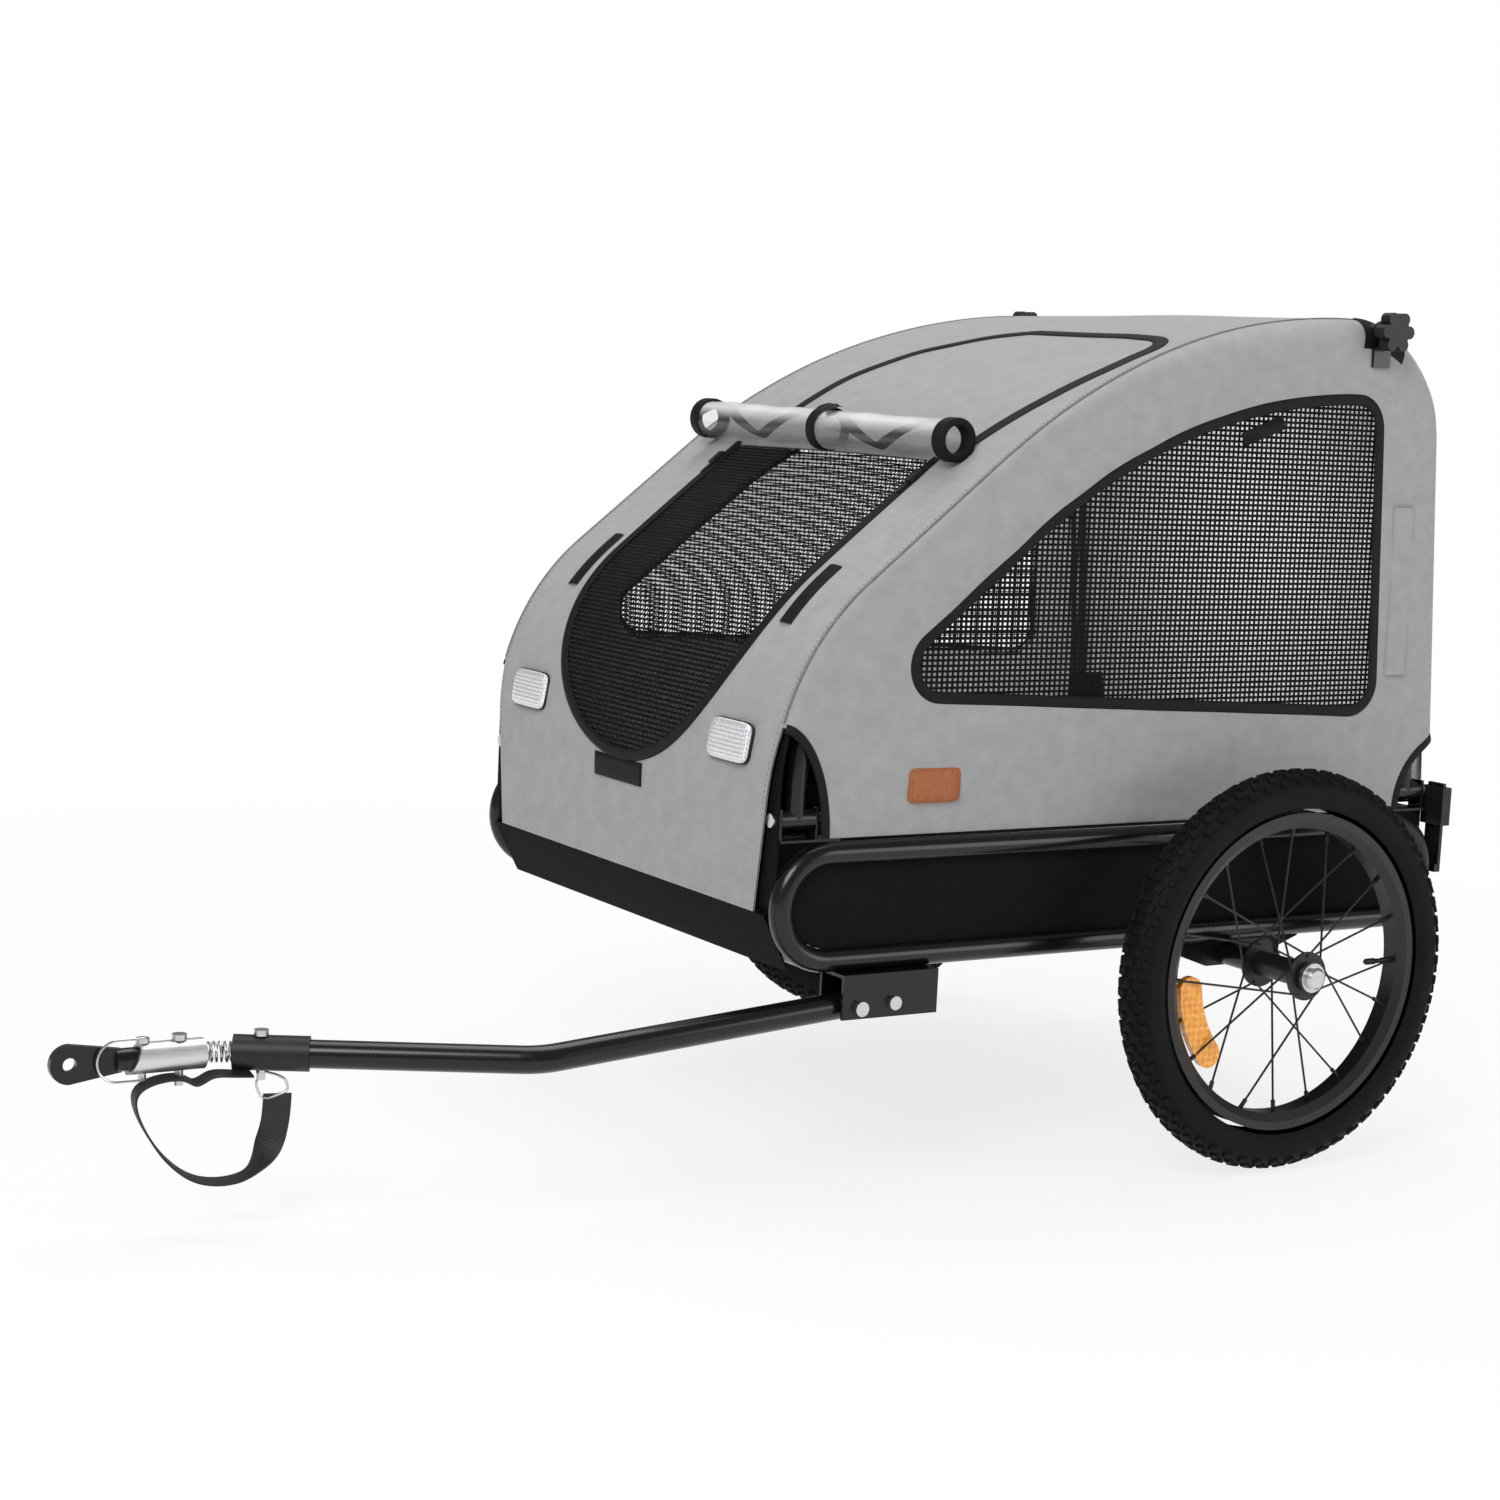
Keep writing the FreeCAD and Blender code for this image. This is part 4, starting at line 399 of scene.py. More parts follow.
# Writes the shape that the modifiers give into the mesh itself.
def settle(piece):
    graph = bpy.context.evaluated_depsgraph_get()
    mesh = bpy.data.meshes.new_from_object(piece.evaluated_get(graph))
    old = piece.data
    piece.modifiers.clear()
    piece.data = mesh
    bpy.data.meshes.remove(old)
    return piece


def thicken(piece, thickness, offset=-1, rim=True):
    solid = piece.modifiers.new("thickness", "SOLIDIFY")
    solid.use_rim = rim
    solid.thickness = thickness / 1000
    solid.offset = offset
    return settle(piece)


# Makes faces point away from a place inside the cabin.
def setOutward(piece):
    heart = Vector(row((100, 0, 450)))
    for face in piece.data.polygons:
        if face.normal.dot(face.center - heart) < 0:
            face.flip()
    piece.data.update()
    return piece


# A band laid along a line on a surface, domed across its width.
def addBand(name, line, normals, width, height, material, loop=False, sides=6):
    normals = np.broadcast_to(np.asarray(normals, float), line.shape)
    across = unit(np.cross(normals, flowOf(line, loop)))
    points = [line + across * (width / 2 * math.cos(angle)) + normals * (height * math.sin(angle) ** 0.5)
              for angle in np.linspace(0, math.pi, sides + 1)]
    return addPiece(name, np.concatenate(points), gridFaces(sides + 1, len(line), loop), material)


# A shape turned round a line along Y through (x, z).
def lathe(name, section, centre, steps, material):
    angles = np.linspace(0, 2 * math.pi, steps, endpoint=False)
    points = [(centre[0] + radius * math.cos(a), y, centre[1] + radius * math.sin(a))
              for radius, y in section for a in angles]
    return addPiece(name, points, gridFaces(len(section), steps, True), material)


# Geometry Nodes group that sets one item at every point, turned by the point's attribute.
def makeRepeat():
    group = bpy.data.node_groups.new("repeat", "GeometryNodeTree")
    sockets = {}
    for name, kind in (("Points", "Geometry"), ("Item", "Object"), ("Material", "Material")):
        made = group.interface.new_socket(name=name, in_out="INPUT", socket_type="NodeSocket" + kind)
        sockets[name] = made.identifier
    group.interface.new_socket(name="Result", in_out="OUTPUT", socket_type="NodeSocketGeometry")
    nodes = {name: group.nodes.new(kind) for name, kind in (
        ("start", "NodeGroupInput"), ("item", "GeometryNodeObjectInfo"), ("turn", "GeometryNodeInputNamedAttribute"),
        ("euler", "FunctionNodeEulerToRotation"), ("instances", "GeometryNodeInstanceOnPoints"),
        ("real", "GeometryNodeRealizeInstances"), ("paint", "GeometryNodeSetMaterial"), ("end", "NodeGroupOutput"))}
    nodes["turn"].data_type = "FLOAT_VECTOR"
    nodes["turn"].inputs["Name"].default_value = "turn"
    for source, output, target, entry in (
            ("start", "Points", "instances", "Points"), ("start", "Item", "item", "Object"),
            ("item", "Geometry", "instances", "Instance"), ("turn", "Attribute", "euler", 0),
            ("euler", 0, "instances", "Rotation"), ("instances", 0, "real", 0), ("real", 0, "paint", "Geometry"),
            ("start", "Material", "paint", "Material"), ("paint", 0, "end", 0)):
        group.links.new(nodes[source].outputs[output], nodes[target].inputs[entry])
    return group, sockets


repeatGroup, repeatSockets = makeRepeat()


# Places are (point, way, outward): the item's X lies along the way and its Z points outward.
def repeatItem(name, itemPoints, itemFaces, places, material):
    item = bpy.data.meshes.new("item")
    item.from_pydata([tuple(np.array(point) / 1000) for point in itemPoints], [], itemFaces)
    holder = putIn("item", item)
    piece = addPiece(name, [place[0] for place in places], [], material)
    turns = piece.data.attributes.new("turn", "FLOAT_VECTOR", "POINT")
    for index, (_, way, outward) in enumerate(places):
        up = Vector(outward).normalized()
        across = up.cross(Vector(way).normalized()).normalized()
        turns.data[index].vector = Matrix((across.cross(up), across, up)).transposed().to_euler()
    made = piece.modifiers.new("repeat", "NODES")
    made.node_group = repeatGroup
    made[repeatSockets["Item"]] = holder
    made[repeatSockets["Material"]] = material
    settle(piece)
    bpy.data.objects.remove(holder)
    bpy.data.meshes.remove(item)
    return piece


stitch = {"long": 2.6, "wide": 0.8, "high": 0.5}


def addStitches(name, places, material):
    long, wide, high = stitch["long"] / 2, stitch["wide"] / 2, stitch["high"]
    points = [(-long, 0, 0), (-long / 2, -wide, 0), (long / 2, -wide, 0), (long, 0, 0), (long / 2, wide, 0),
              (-long / 2, wide, 0), (-long / 2, 0, high), (long / 2, 0, high)]
    faces = [(0, 1, 6), (1, 2, 7, 6), (2, 3, 7), (3, 4, 7), (4, 5, 6, 7), (5, 0, 6)]
    return repeatItem(name, points, faces, places, material)


# Helpers for what a piece stands for and what it rides on
def standIn(piece, node, body=None):
    if node:
        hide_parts(node)
    if body:
        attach(piece, body)


# Cloth halves of front and roof lie between the chassis at the middle and the side frame at the edge. Only the piece's
# placement is baked into its mesh.
def bendWithSide(piece):
    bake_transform(piece)


# Cloth beside a hinge lies between the chassis below it and the side above it. Only the piece's placement is baked into
# its mesh.
def bendAtHinge(piece):
    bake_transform(piece)


# Side outline of the cabin, measured along the cloth from its front foot

cabin = {
    "front": 545.0, "foot": 268.0, "noseRadius": 250.0, "slope": 39.0, "roofRadius": 725.0, "roofHeight": 841.0,
    "rearRadius": 105.0, "lean": 4.35, "rearFoot": 273.0, "railTop": 335.0, "side": 290.0, "sideBottom": 338.0,
    "hingeHeight": 355.0, "cloth": 1.6,
}
slopeTurn = math.radians(90 - cabin["slope"])
leanTurn = math.radians(cabin["lean"])
cornerZ = cabin["roofHeight"] - cabin["rearRadius"]
cornerX = (-cabin["rearFoot"] + (cornerZ - cabin["railTop"]) * math.tan(leanTurn)
           + cabin["rearRadius"] / math.cos(leanTurn))
roofZ = cabin["roofHeight"] - cabin["roofRadius"]
noseX = cabin["front"] - cabin["noseRadius"]
slopeReach = cornerX * math.cos(slopeTurn) + roofZ * math.sin(slopeTurn) + cabin["roofRadius"]
noseZ = (slopeReach - cabin["noseRadius"] - noseX * math.cos(slopeTurn)) / math.sin(slopeTurn)


# Rows of x, z and the way that the cloth faces.
def makeProfile():
    points = []

    def arc(x, z, radius, turns):
        points.extend((x + radius * math.cos(a), z + radius * math.sin(a), math.cos(a), math.sin(a)) for a in turns)

    def straight(start, end, turn, shares):
        start, end = np.array(start), np.array(end)
        points.extend((*(start + (end - start) * share), math.cos(turn), math.sin(turn)) for share in shares)

    straight((cabin["front"], cabin["foot"]), (cabin["front"], noseZ), 0, np.linspace(0, 1, 40)[:-1])
    arc(noseX, noseZ, cabin["noseRadius"], np.linspace(0, slopeTurn, 30))
    high = (cornerX + cabin["roofRadius"] * math.cos(slopeTurn), roofZ + cabin["roofRadius"] * math.sin(slopeTurn))
    straight(points[-1][:2], high, slopeTurn, np.linspace(0, 1, 60)[1:-1])
    arc(cornerX, roofZ, cabin["roofRadius"], np.linspace(slopeTurn, math.pi / 2, 120)[:-1])
    arc(cornerX, cornerZ, cabin["rearRadius"], np.linspace(math.pi / 2, math.pi - leanTurn, 60))
    x, z = points[-1][:2]
    foot = (x - (z - cabin["sideBottom"]) * math.tan(leanTurn), cabin["sideBottom"])
    straight((x, z), foot, math.pi - leanTurn, np.linspace(0, 1, 80)[1:])
    return np.array(points)


profile = makeProfile()
reach = runOf(profile[:, :2])
roofTop = int(np.argmax(profile[:, 1]))


def along(distance):
    return np.array([np.interp(distance, reach, profile[:, column]) for column in range(4)]).T


# Distance along the outline at a height, on the front and roof or on the rear.
def reachAt(z):
    return np.interp(z, profile[:roofTop + 1, 1], reach[:roofTop + 1])


def rearReachAt(z):
    return np.interp(-np.asarray(z), -profile[roofTop:, 1], reach[roofTop:])


def onOutline(distance, across, out=0.0):
    x, z, outX, outZ = along(distance).T
    return columns(x + outX * out, across, z + outZ * out)


def facingAt(distance, across=0.0):
    _, _, outX, outZ = along(distance).T
    return columns(outX, across, outZ)


def nearEdge(points):
    return nearLine(points, profile[:, :2])


# Half the width of the front and roof cloth: full on the slope, drawn in at its foot and where the roof rounds over.
seam = {"heights": (442.0, 700.0, 777.0, 828.0), "halves": (283.0, 284.0, 277.0, 264.0), "foot": 260.0, "rear": 262.0}
seamSpots = np.concatenate(([0], [reachAt(height) for height in seam["heights"]], [reach[roofTop]]))
seamHalves = (seam["foot"], *seam["halves"], seam["rear"])


def seamHalf(distance):
    return np.interp(distance, seamSpots, seamHalves)


# Depth of the side cloth at a distance in from the outline, round over the shoulder.
def sideDepth(inset, distance):
    radius = cabin["side"] - seamHalf(distance)
    short = np.clip(radius - inset, 0, radius)
    return cabin["side"] - radius + np.sqrt(radius ** 2 - short ** 2)


# The roof is crowned between its seams, and fades to flat over a length at the front and at the rear.
crown = {"high": 2.5, "front": 150.0, "rear": 260.0}
sheetWave = {"high": 0.7, "long": 37.0, "wide": 51.0}


# Front and roof cloth: a spot is a distance along the outline and a place across it.
def sheetPoint(distance, across, lift=0.0):
    distance, across = np.broadcast_arrays(np.asarray(distance, float), np.asarray(across, float))
    ahead = np.clip(distance / crown["front"], 0, 1)
    behind = np.clip((rearReachAt(cornerZ) - distance) / crown["rear"], 0, 1)
    middle = 1 - (across / seamHalf(distance)) ** 2
    wave = sheetWave["high"] * np.sin(distance / sheetWave["long"] + across / sheetWave["wide"])
    return onOutline(distance, across, (crown["high"] + wave) * middle * ease(ahead * behind) + lift)


def sheetFacing(distance, across):
    return unit(facingAt(distance, np.asarray(across) / 4000))


print("outline length:", round(reach[-1]), "mm")

# Safety strap, hanging from the sleeve bolt round to its ring

strap = {
    "start": (988.56, 180.59, 155.06), "end": (1088.99, 163.679), "width": 25.0, "thick": 2.0, "length": 0.322,
    "route": [(8, -18.2), (24, -17.6), (36, -16.5), (44, -17.5), (51, -22), (57, -24.5), (63, -21), (70, -17.8),
              (84, -18.5), (97, -22), (106, -28), (109, -37), (105, -52), (95, -71), (81, -91), (60, -108.5),
              (36, -114), (11, -110), (-1, -97), (-9, -81.5), (-13.5, -64), (-15, -47), (-15.2, -37)],
    "ring": [(-0.9, -16.3), (4.3, -27.4), (-0.2, -39.2), (-6.9, -41), (-24.8, -34.9), (-22.2, -24.8), (-13.8, -20.1)],
    "wire": 1.25, "rounding": 0.3, "twist": (25.0, 80.0),
}


# Bent wire ring, closed, with its corners rounded.
def addRing(start, way, across):
    corners = np.array(strap["ring"])
    loop = np.concatenate([
        roundCorner(corner + (before - corner) * strap["rounding"], corner,
                    corner + (after - corner) * strap["rounding"], 7)
        for before, corner, after in zip(np.roll(corners, 1, 0), corners, np.roll(corners, -1, 0))])
    line = start + columns(way[0] * loop[:, 0], way[1] * loop[:, 0], loop[:, 1])
    rise = np.cross(flowOf(line, True), across)
    angles = np.linspace(0, 2 * math.pi, 11)
    points = np.concatenate([line + (across * math.cos(a) + rise * math.sin(a)) * strap["wire"] for a in angles])
    ring = addPiece("strap_d_ring", points, gridFaces(len(angles), len(line), True), steel)
    standIn(ring, "strap_ring", "drawbar")
    return ring


# The strap's route as a smooth curve, in points close together.
def strapLine(start, way):
    data = bpy.data.curves.new("strap_route", "CURVE")
    data.dimensions = "3D"
    data.resolution_u = 8
    spline = data.splines.new("NURBS")
    spline.points.add(len(strap["route"]) - 1)
    for point, (ahead, up) in zip(spline.points, strap["route"]):
        point.co = (*row((start[0] + way[0] * ahead, start[1] + way[1] * ahead, start[2] + up)), 1)
    spline.order_u = 3
    spline.use_endpoint_u = True
    holder = putIn("strap_route", data)
    line = np.array([tuple(vertex.co) for vertex in holder.to_mesh().vertices]) * 1000 - (axleX, 0, 0)
    holder.to_mesh_clear()
    bpy.data.objects.remove(holder)
    return line


def addStrap():
    start = np.array(strap["start"])
    way = unit(np.array(strap["end"]) - start[:2])
    across = np.array((-way[1], way[0], 0))
    ring = addRing(start, way, across)
    line = strapLine(start, way)
    rise = np.cross(flowOf(line), across)
    # The webbing lies flat under the sleeve, and turns edge on to its ring.
    run = runOf(line)
    low, high = strap["twist"]
    turn = (math.pi / 2 * ease(np.clip((high - run[-1] + run) / (high - low), 0, 1)))[:, None]
    side = across * np.cos(turn) + rise * np.sin(turn)
    up = rise * np.cos(turn) - across * np.sin(turn)
    half, thin = strap["width"] / 2, strap["thick"] / 2
    upper = [(half, thin * 0.5), (half - 1, thin), (-half + 1, thin), (-half, thin * 0.5)]
    corners = upper + [(-wide, -tall) for wide, tall in upper] + upper[:1]
    points = np.concatenate([line + side * wide + up * tall for wide, tall in corners])
    piece = addPiece("strap_band", points, gridFaces(len(corners), len(line)), webbing, smooth=False)
    standIn(piece, "safety_strap", "drawbar")
    print("strap length:", round(float(run[-1])), "mm")


addStrap()

# Flex spring in two halves, rear and front, cut at its middle

spring = {"middle": (1022.11, 165.203, 155.058), "turn": 13.5, "show": 26.0}


def addSpring():
    middle = Vector(row(spring["middle"]))
    turn = math.radians(spring["turn"])
    way = Vector((math.cos(turn), -math.sin(turn), 0))
    half = way * spring["show"] / 2000
    for name, bodies, start, end in (("rear", ("drawbar", "hitch_flex"), middle - half, middle),
                                     ("front", ("hitch_flex", "coupler"), middle, middle + half)):
        form = bmesh.new()
        form.from_mesh(frame["nodes"]["hitch_spring"].data)
        bmesh.ops.bisect_plane(form, geom=form.verts[:] + form.edges[:] + form.faces[:], plane_co=middle, plane_no=way,
                               clear_outer=name == "rear", clear_inner=name == "front")
        mesh = bpy.data.meshes.new("flex_spring_" + name)
        form.to_mesh(mesh)
        form.free()
        piece = showMesh("flex_spring_" + name, mesh, steel)
        standIn(piece, "hitch_spring")
        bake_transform(piece)


addSpring()

# Side cloth with its window

window = {"inset": 83.0, "foot": 444.0, "rear": -174.0, "rise": 2.5, "lean": 3.3, "corner": 28.0, "binding": 12.0,
          "hem": 2.5, "depth": 289.6}


# The window keeps its distance from the arch, above a foot that rises forward and ahead of a leaning rear edge.
def windowOutline(grow=0.0):
    corner = window["corner"]
    size = corner + grow
    rise, lean = math.radians(window["rise"]), math.radians(window["lean"])
    down = np.array((math.sin(rise), -math.cos(rise)))
    back = np.array((-math.cos(lean), math.sin(lean)))
    heel = np.array((window["rear"], window["foot"]))
    limits = np.array((down @ heel, back @ heel)) - corner
    base = along(np.linspace(0, reach[roofTop], 700))
    spots = base[:, :2] - base[:, 2:] * (window["inset"] + corner)
    inside = (spots @ down <= limits[0]) & (spots @ back <= limits[1])
    spots, facing = spots[inside], base[inside, 2:]
    low = np.linalg.solve(np.array((down, back)), limits)

    def arc(middle, start, end, count):
        angles = np.linspace(start, end, count)
        return middle + size * columns(np.cos(angles), np.sin(angles))

    start, end = low + down * size, spots[0] + down * size
    return np.concatenate((
        arc(spots[0], rise - math.pi / 2, math.atan2(facing[0, 1], facing[0, 0]), 24),
        (spots + facing * size)[4:-4:4],
        arc(spots[-1], math.atan2(facing[-1, 1], facing[-1, 0]), math.pi - lean, 20),
        arc(low, math.pi - lean, 1.5 * math.pi + rise, 18),
        start + (end - start) * np.linspace(0, 1, 50)[1:-1, None]))


notch = {"frontLong": 56.0, "frontHigh": 104.0, "rearLong": 56.0, "rearHigh": 76.0, "clear": 0.5, "binding": 9.0}


# The part of a notch that lies within the outline, from its top down.
def notchLine(name, count):
    angles = np.linspace(0, math.pi / 2, count)
    heights = cabin["sideBottom"] + notch[name + "High"] * np.cos(angles)
    if name == "front":
        curve = columns(cabin["front"] - notch["frontLong"] * np.sin(angles), heights)
        return curve[curve[:, 0] < along(reachAt(heights))[:, 0] - notch["clear"]]
    curve = columns(-cabin["rearFoot"] + notch["rearLong"] * np.sin(angles), heights)
    return curve[curve[:, 0] > along(rearReachAt(heights))[:, 0] + notch["clear"]]


def sideOutline():
    front, rear = notchLine("front", 34), notchLine("rear", 44)
    edge = along(np.linspace(reachAt(front[0, 1] + 1), rearReachAt(rear[0, 1] + 1), 320))[:, :2]
    bottom = columns(np.linspace(front[-1, 0], rear[-1, 0], 90), cabin["sideBottom"])
    return np.concatenate((edge, rear, bottom[::-1][1:-1], front[::-1]))


# How far the cloth stands out behind the rear of its bow, fading towards the window and the top corner.
bulge = {"out": 13.0, "long": 75.0, "below": 12.0, "high": 110.0}


def rearBulge(flat):
    base = along(rearReachAt(np.clip(flat[:, 1], cabin["sideBottom"], cornerZ)))
    near = np.clip(1 - (flat[:, 0] - base[:, 0]) / bulge["long"], 0, 1)
    low = np.clip((cabin["roofHeight"] - bulge["below"] - flat[:, 1]) / bulge["high"], 0, 1)
    return bulge["out"] * ease(near) * ease(low)


sideSheet = {"centre": (60.0, 560.0), "thick": 1.4, "flat": (0.86, 0.51), "shoulder": 20.0,
             "depths": (0, 1.2, 3, 6, 10, 15, 20.5, 26)}


def addSide(side, hand):
    centre = np.array(sideSheet["centre"])
    rims = sideOutline()
    hole = windowOutline()
    hole = np.concatenate((hole, hole, hole[:2]))
    inner = castOut(hole, centre, np.unwrap(np.arctan2(rims[:, 1] - centre[1], rims[:, 0] - centre[0])))
    # The first rows keep even distances from the outline, round the shoulder.
    toward = unit(inner - rims)
    facing = np.array([profile[np.argmin(np.linalg.norm(profile[:, :2] - rim, axis=1)), 2:] for rim in rims])
    slant = np.clip(-np.sum(toward * facing, axis=1), 0.6, 1)
    stride = np.where(nearEdge(rims)[0] < 0.3, 1 / slant, 1.0)
    for _ in range(60):
        stride = (np.roll(stride, 1) + stride + np.roll(stride, -1)) / 3
    steps = [rims + toward * stride[:, None] * depth for depth in sideSheet["depths"]]
    start = steps[-1]
    steps += [start + (inner - start) * share for share in np.linspace(0, 1, 12)[1:]]
    flat = np.concatenate(steps)
    # Loose cloth swells a little between its seams, and rounds out behind its bow.
    fromRim = nearLine(flat, np.concatenate((rims, rims[:1])))[0] - sideSheet["shoulder"]
    share = np.clip(fromRim / (fromRim + nearLine(flat, hole)[0] + 1e-6), 0, 1)
    x, z = flat.T
    swell = np.sin(math.pi * share) * (2.2 + 0.9 * np.sin(x / 47 + z / 31) + 0.6 * np.sin(x / 19 - z / 23))
    points = columns(x - rearBulge(flat), side * (sideDepth(*nearEdge(flat)) + swell), z)
    piece = addPiece("side_cloth_" + hand, points, gridFaces(len(steps), len(rims), True), greyCloth)
    if side > 0:
        piece.data.flip_normals()
    thicken(piece, sideSheet["thick"])
    standIn(piece, "side_cover_" + hand, hand + "_side")


net = {"upright": (6.0, 286.4), "level": (5.2, 286.0), "left": 0.245, "right": 0.14, "under": 4.0}


# Threads of the window's net, each a strip between the sides of the window.
def addNet(side, hand):
    outline = windowOutline(net["under"])
    ring = np.concatenate((outline, outline[:1]))
    points = []
    for axis, name in enumerate(("upright", "level")):
        pitch, depth = net[name]
        half = net[hand] * pitch
        values, others = ring[:, axis], ring[:, 1 - axis]
        for line in np.arange(values.min() + 2, values.max(), pitch):
            before, after = values[:-1] - line, values[1:] - line
            hits = np.nonzero((before < 0) != (after < 0))[0]
            share = before[hits] / (before[hits] - after[hits])
            ends = sorted(others[hits] + (others[hits + 1] - others[hits]) * share)[::max(len(hits) - 1, 1)]
            spans = [(line - half, line + half), ends]
            (left, right), (low, high) = spans if axis == 0 else spans[::-1]
            points += [(x, side * depth, z) for x, z in ((left, low), (right, low), (right, high), (left, high))]
    faces = [tuple(range(start, start + 4)) for start in range(0, len(points), 4)]
    piece = addPiece("window_mesh_" + hand, points, faces, netThread, smooth=False)
    standIn(piece, "window_net_" + hand, hand + "_side")


# Sleeve for a flag pole, sewn down at both edges, and the black patch where the crossbar comes out.
sleeve = {"top": (-199.0, 653.0), "low": (-203.0, 480.0), "width": 29.0, "high": 5.0, "depth": 289.9,
          "hem": 12.5, "stitch": 0.024, "thread": 292.4}
cornerPatch = {"below": 137.0, "half": 30.0, "deep": 30.0, "lift": 0.9}


def addSideTrim(side, hand):
    body, facing = hand + "_side", (0, side, 0)

    def band(name, line, normals, width, height, material, **form):
        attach(addBand(name + "_" + hand, line, normals, width, height, material, **form), body)

    x, z = windowOutline(window["hem"]).T
    line = columns(x, side * window["depth"], z)
    band("window_binding", line, facing, window["binding"], 2.0, bindingCloth, loop=True)
    for name in ("front", "rear"):
        curve = notchLine(name, 40)
        depth = side * (sideDepth(*nearEdge(curve)) - 0.4)
        line = columns(curve[:, 0] - rearBulge(curve), depth, curve[:, 1])
        band("notch_binding_" + name, line, facing, notch["binding"], 1.8, bindingCloth)
    # Seam along the arch, where side and roof cloth are sewn together.
    stations = np.linspace(reachAt(445), rearReachAt(cornerZ - 30), 220)
    line = onOutline(stations, side * (seamHalf(stations) + 0.5))
    band("arch_seam", line, facingAt(stations), 3.0, 1.0, seamCloth)
    top, low = np.array(sleeve["top"]), np.array(sleeve["low"])
    x, z = (top + (low - top) * np.linspace(0, 1, 24)[:, None]).T
    line = columns(x, side * sleeve["depth"], z)
    band("flag_sleeve", line, facing, sleeve["width"], sleeve["high"], greyCloth, sides=10)
    places = []
    for edge in (-sleeve["hem"], sleeve["hem"]):
        for x, z in top + (low - top) * np.arange(0.01, 1, sleeve["stitch"])[:, None]:
            places.append(((x + edge, side * sleeve["thread"], z), (low[0] - top[0], 0, low[1] - top[1]), facing))
    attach(addStitches("flag_stitches_" + hand, places, thread), body)
    rows = []
    for depth in np.linspace(-1, cornerPatch["deep"], 9):
        half = cornerPatch["half"] + depth * 0.25
        stations = rearReachAt(cornerZ) - cornerPatch["below"] + np.linspace(-half, half, 14)
        across = side * (sideDepth(max(depth, 0), stations) + cornerPatch["lift"])
        rows.append(onOutline(stations, across, cornerPatch["lift"] - depth))
    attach(addPiece("corner_patch_" + hand, np.concatenate(rows), gridFaces(9, 14), bindingCloth), body)


for side, hand in hands:
    addSide(side, hand)
    addNet(side, hand)
    addSideTrim(side, hand)
print("sides made")

# Front and roof cloth, sewn round the mesh door

door = {"half": 183.0, "foot": 381.0, "head": 682.0, "binding": 12.0, "hem": 2.0, "pitch": 5.0, "thread": 1.15}
sheetSplit = reachAt(cabin["hingeHeight"])
sheetTurn, sheetWide = 560.0, 0.286
sheetEnd = rearReachAt(cornerZ - 2)
sheetLevel = rearReachAt(840.5)


# Half of the door: round foot, upright edge and head, each spot a distance and a place across.
def doorOutline(grow=0.0):
    half = door["half"] + grow
    level, head = door["foot"] + door["half"], door["head"] + grow
    angles = np.linspace(-math.pi / 2, 0, 60)
    return np.concatenate((
        columns(reachAt(level + half * np.sin(angles)), half * np.cos(angles)),
        columns(reachAt(np.linspace(level, head, 30)[1:]), half),
        columns(reachAt(head), np.linspace(half, 0, 30)[1:])))


def addSheetHalf(side, hand):
    edgeWay = np.linspace(sheetSplit, sheetTurn, 90)
    edge = np.concatenate((
        columns(sheetSplit, np.linspace(0, seamHalf(sheetSplit), 30)),
        columns(edgeWay, seamHalf(edgeWay))[1:],
        columns(sheetTurn, np.linspace(seamHalf(sheetTurn), 0, 30))[1:]))
    # The sweep runs from straight down the front, round the side, to straight up.
    flip = np.array((-1, 1))
    centre = np.array((-reachAt(560), 0.0))
    inner = castOut(doorOutline() * flip, centre, np.arctan2(edge[:, 1], -edge[:, 0] - centre[0])) * flip
    flat = np.concatenate([edge + (inner - edge) * share for share in np.linspace(0, 1, 13)])
    front = sheetPoint(flat[:, 0], flat[:, 1] * side)
    stations = np.concatenate((np.linspace(sheetTurn, sheetLevel, 40), np.linspace(sheetLevel, sheetEnd, 24)[1:]))
    count = len(stations)
    stations, shares = spread(stations, np.linspace(0, 1, 20))
    points = np.concatenate((front, sheetPoint(stations, shares * seamHalf(stations) * side)))
    faces = gridFaces(13, len(edge)) + shifted(gridFaces(count, 20), len(front))
    piece = setOutward(addPiece("roof_cloth_" + hand, points, faces, greyCloth))
    thicken(piece, cabin["cloth"], rim=False)
    standIn(piece, "roof_cover")
    bendWithSide(piece)


def addSheetFoot():
    stations, shares = spread(np.linspace(0, sheetSplit, 8), np.linspace(-1, 1, 50))
    points = sheetPoint(stations, shares * seamHalf(stations))
    piece = setOutward(addPiece("front_foot_cloth", points, gridFaces(8, 50), greyCloth))
    thicken(piece, cabin["cloth"], rim=False)
    standIn(piece, None, "chassis")


def addDoorMesh(side, hand):
    outline = doorOutline(door["hem"])
    foot, head = outline[:60].T, outline[-1, 0]
    points, faces = [], []

    def ribbon(stations, across, lift, long, wide):
        faces.extend(shifted(gridFaces(2, len(stations)), len(points)))
        for shift in (-door["thread"], door["thread"]):
            points.extend(sheetPoint(stations + shift * long, across + shift * wide, lift))

    for y in np.arange(door["pitch"] / 2, door["half"] + 2, door["pitch"]):
        ribbon(np.arange(np.interp(y, foot[1], foot[0]), head + 1, 9.0), side * y, -1.2, 0, 1)
    for station in np.arange(foot[0, 0] + 2, head, door["pitch"]):
        wide = np.interp(station, foot[0], foot[1])
        ribbon(np.full(16, station), side * np.linspace(0, wide, 16), -1.6, 1, 0)
    piece = addPiece("door_mesh_" + hand, points, faces, netThread, smooth=False)
    standIn(piece, "front_mesh")
    bendWithSide(piece)


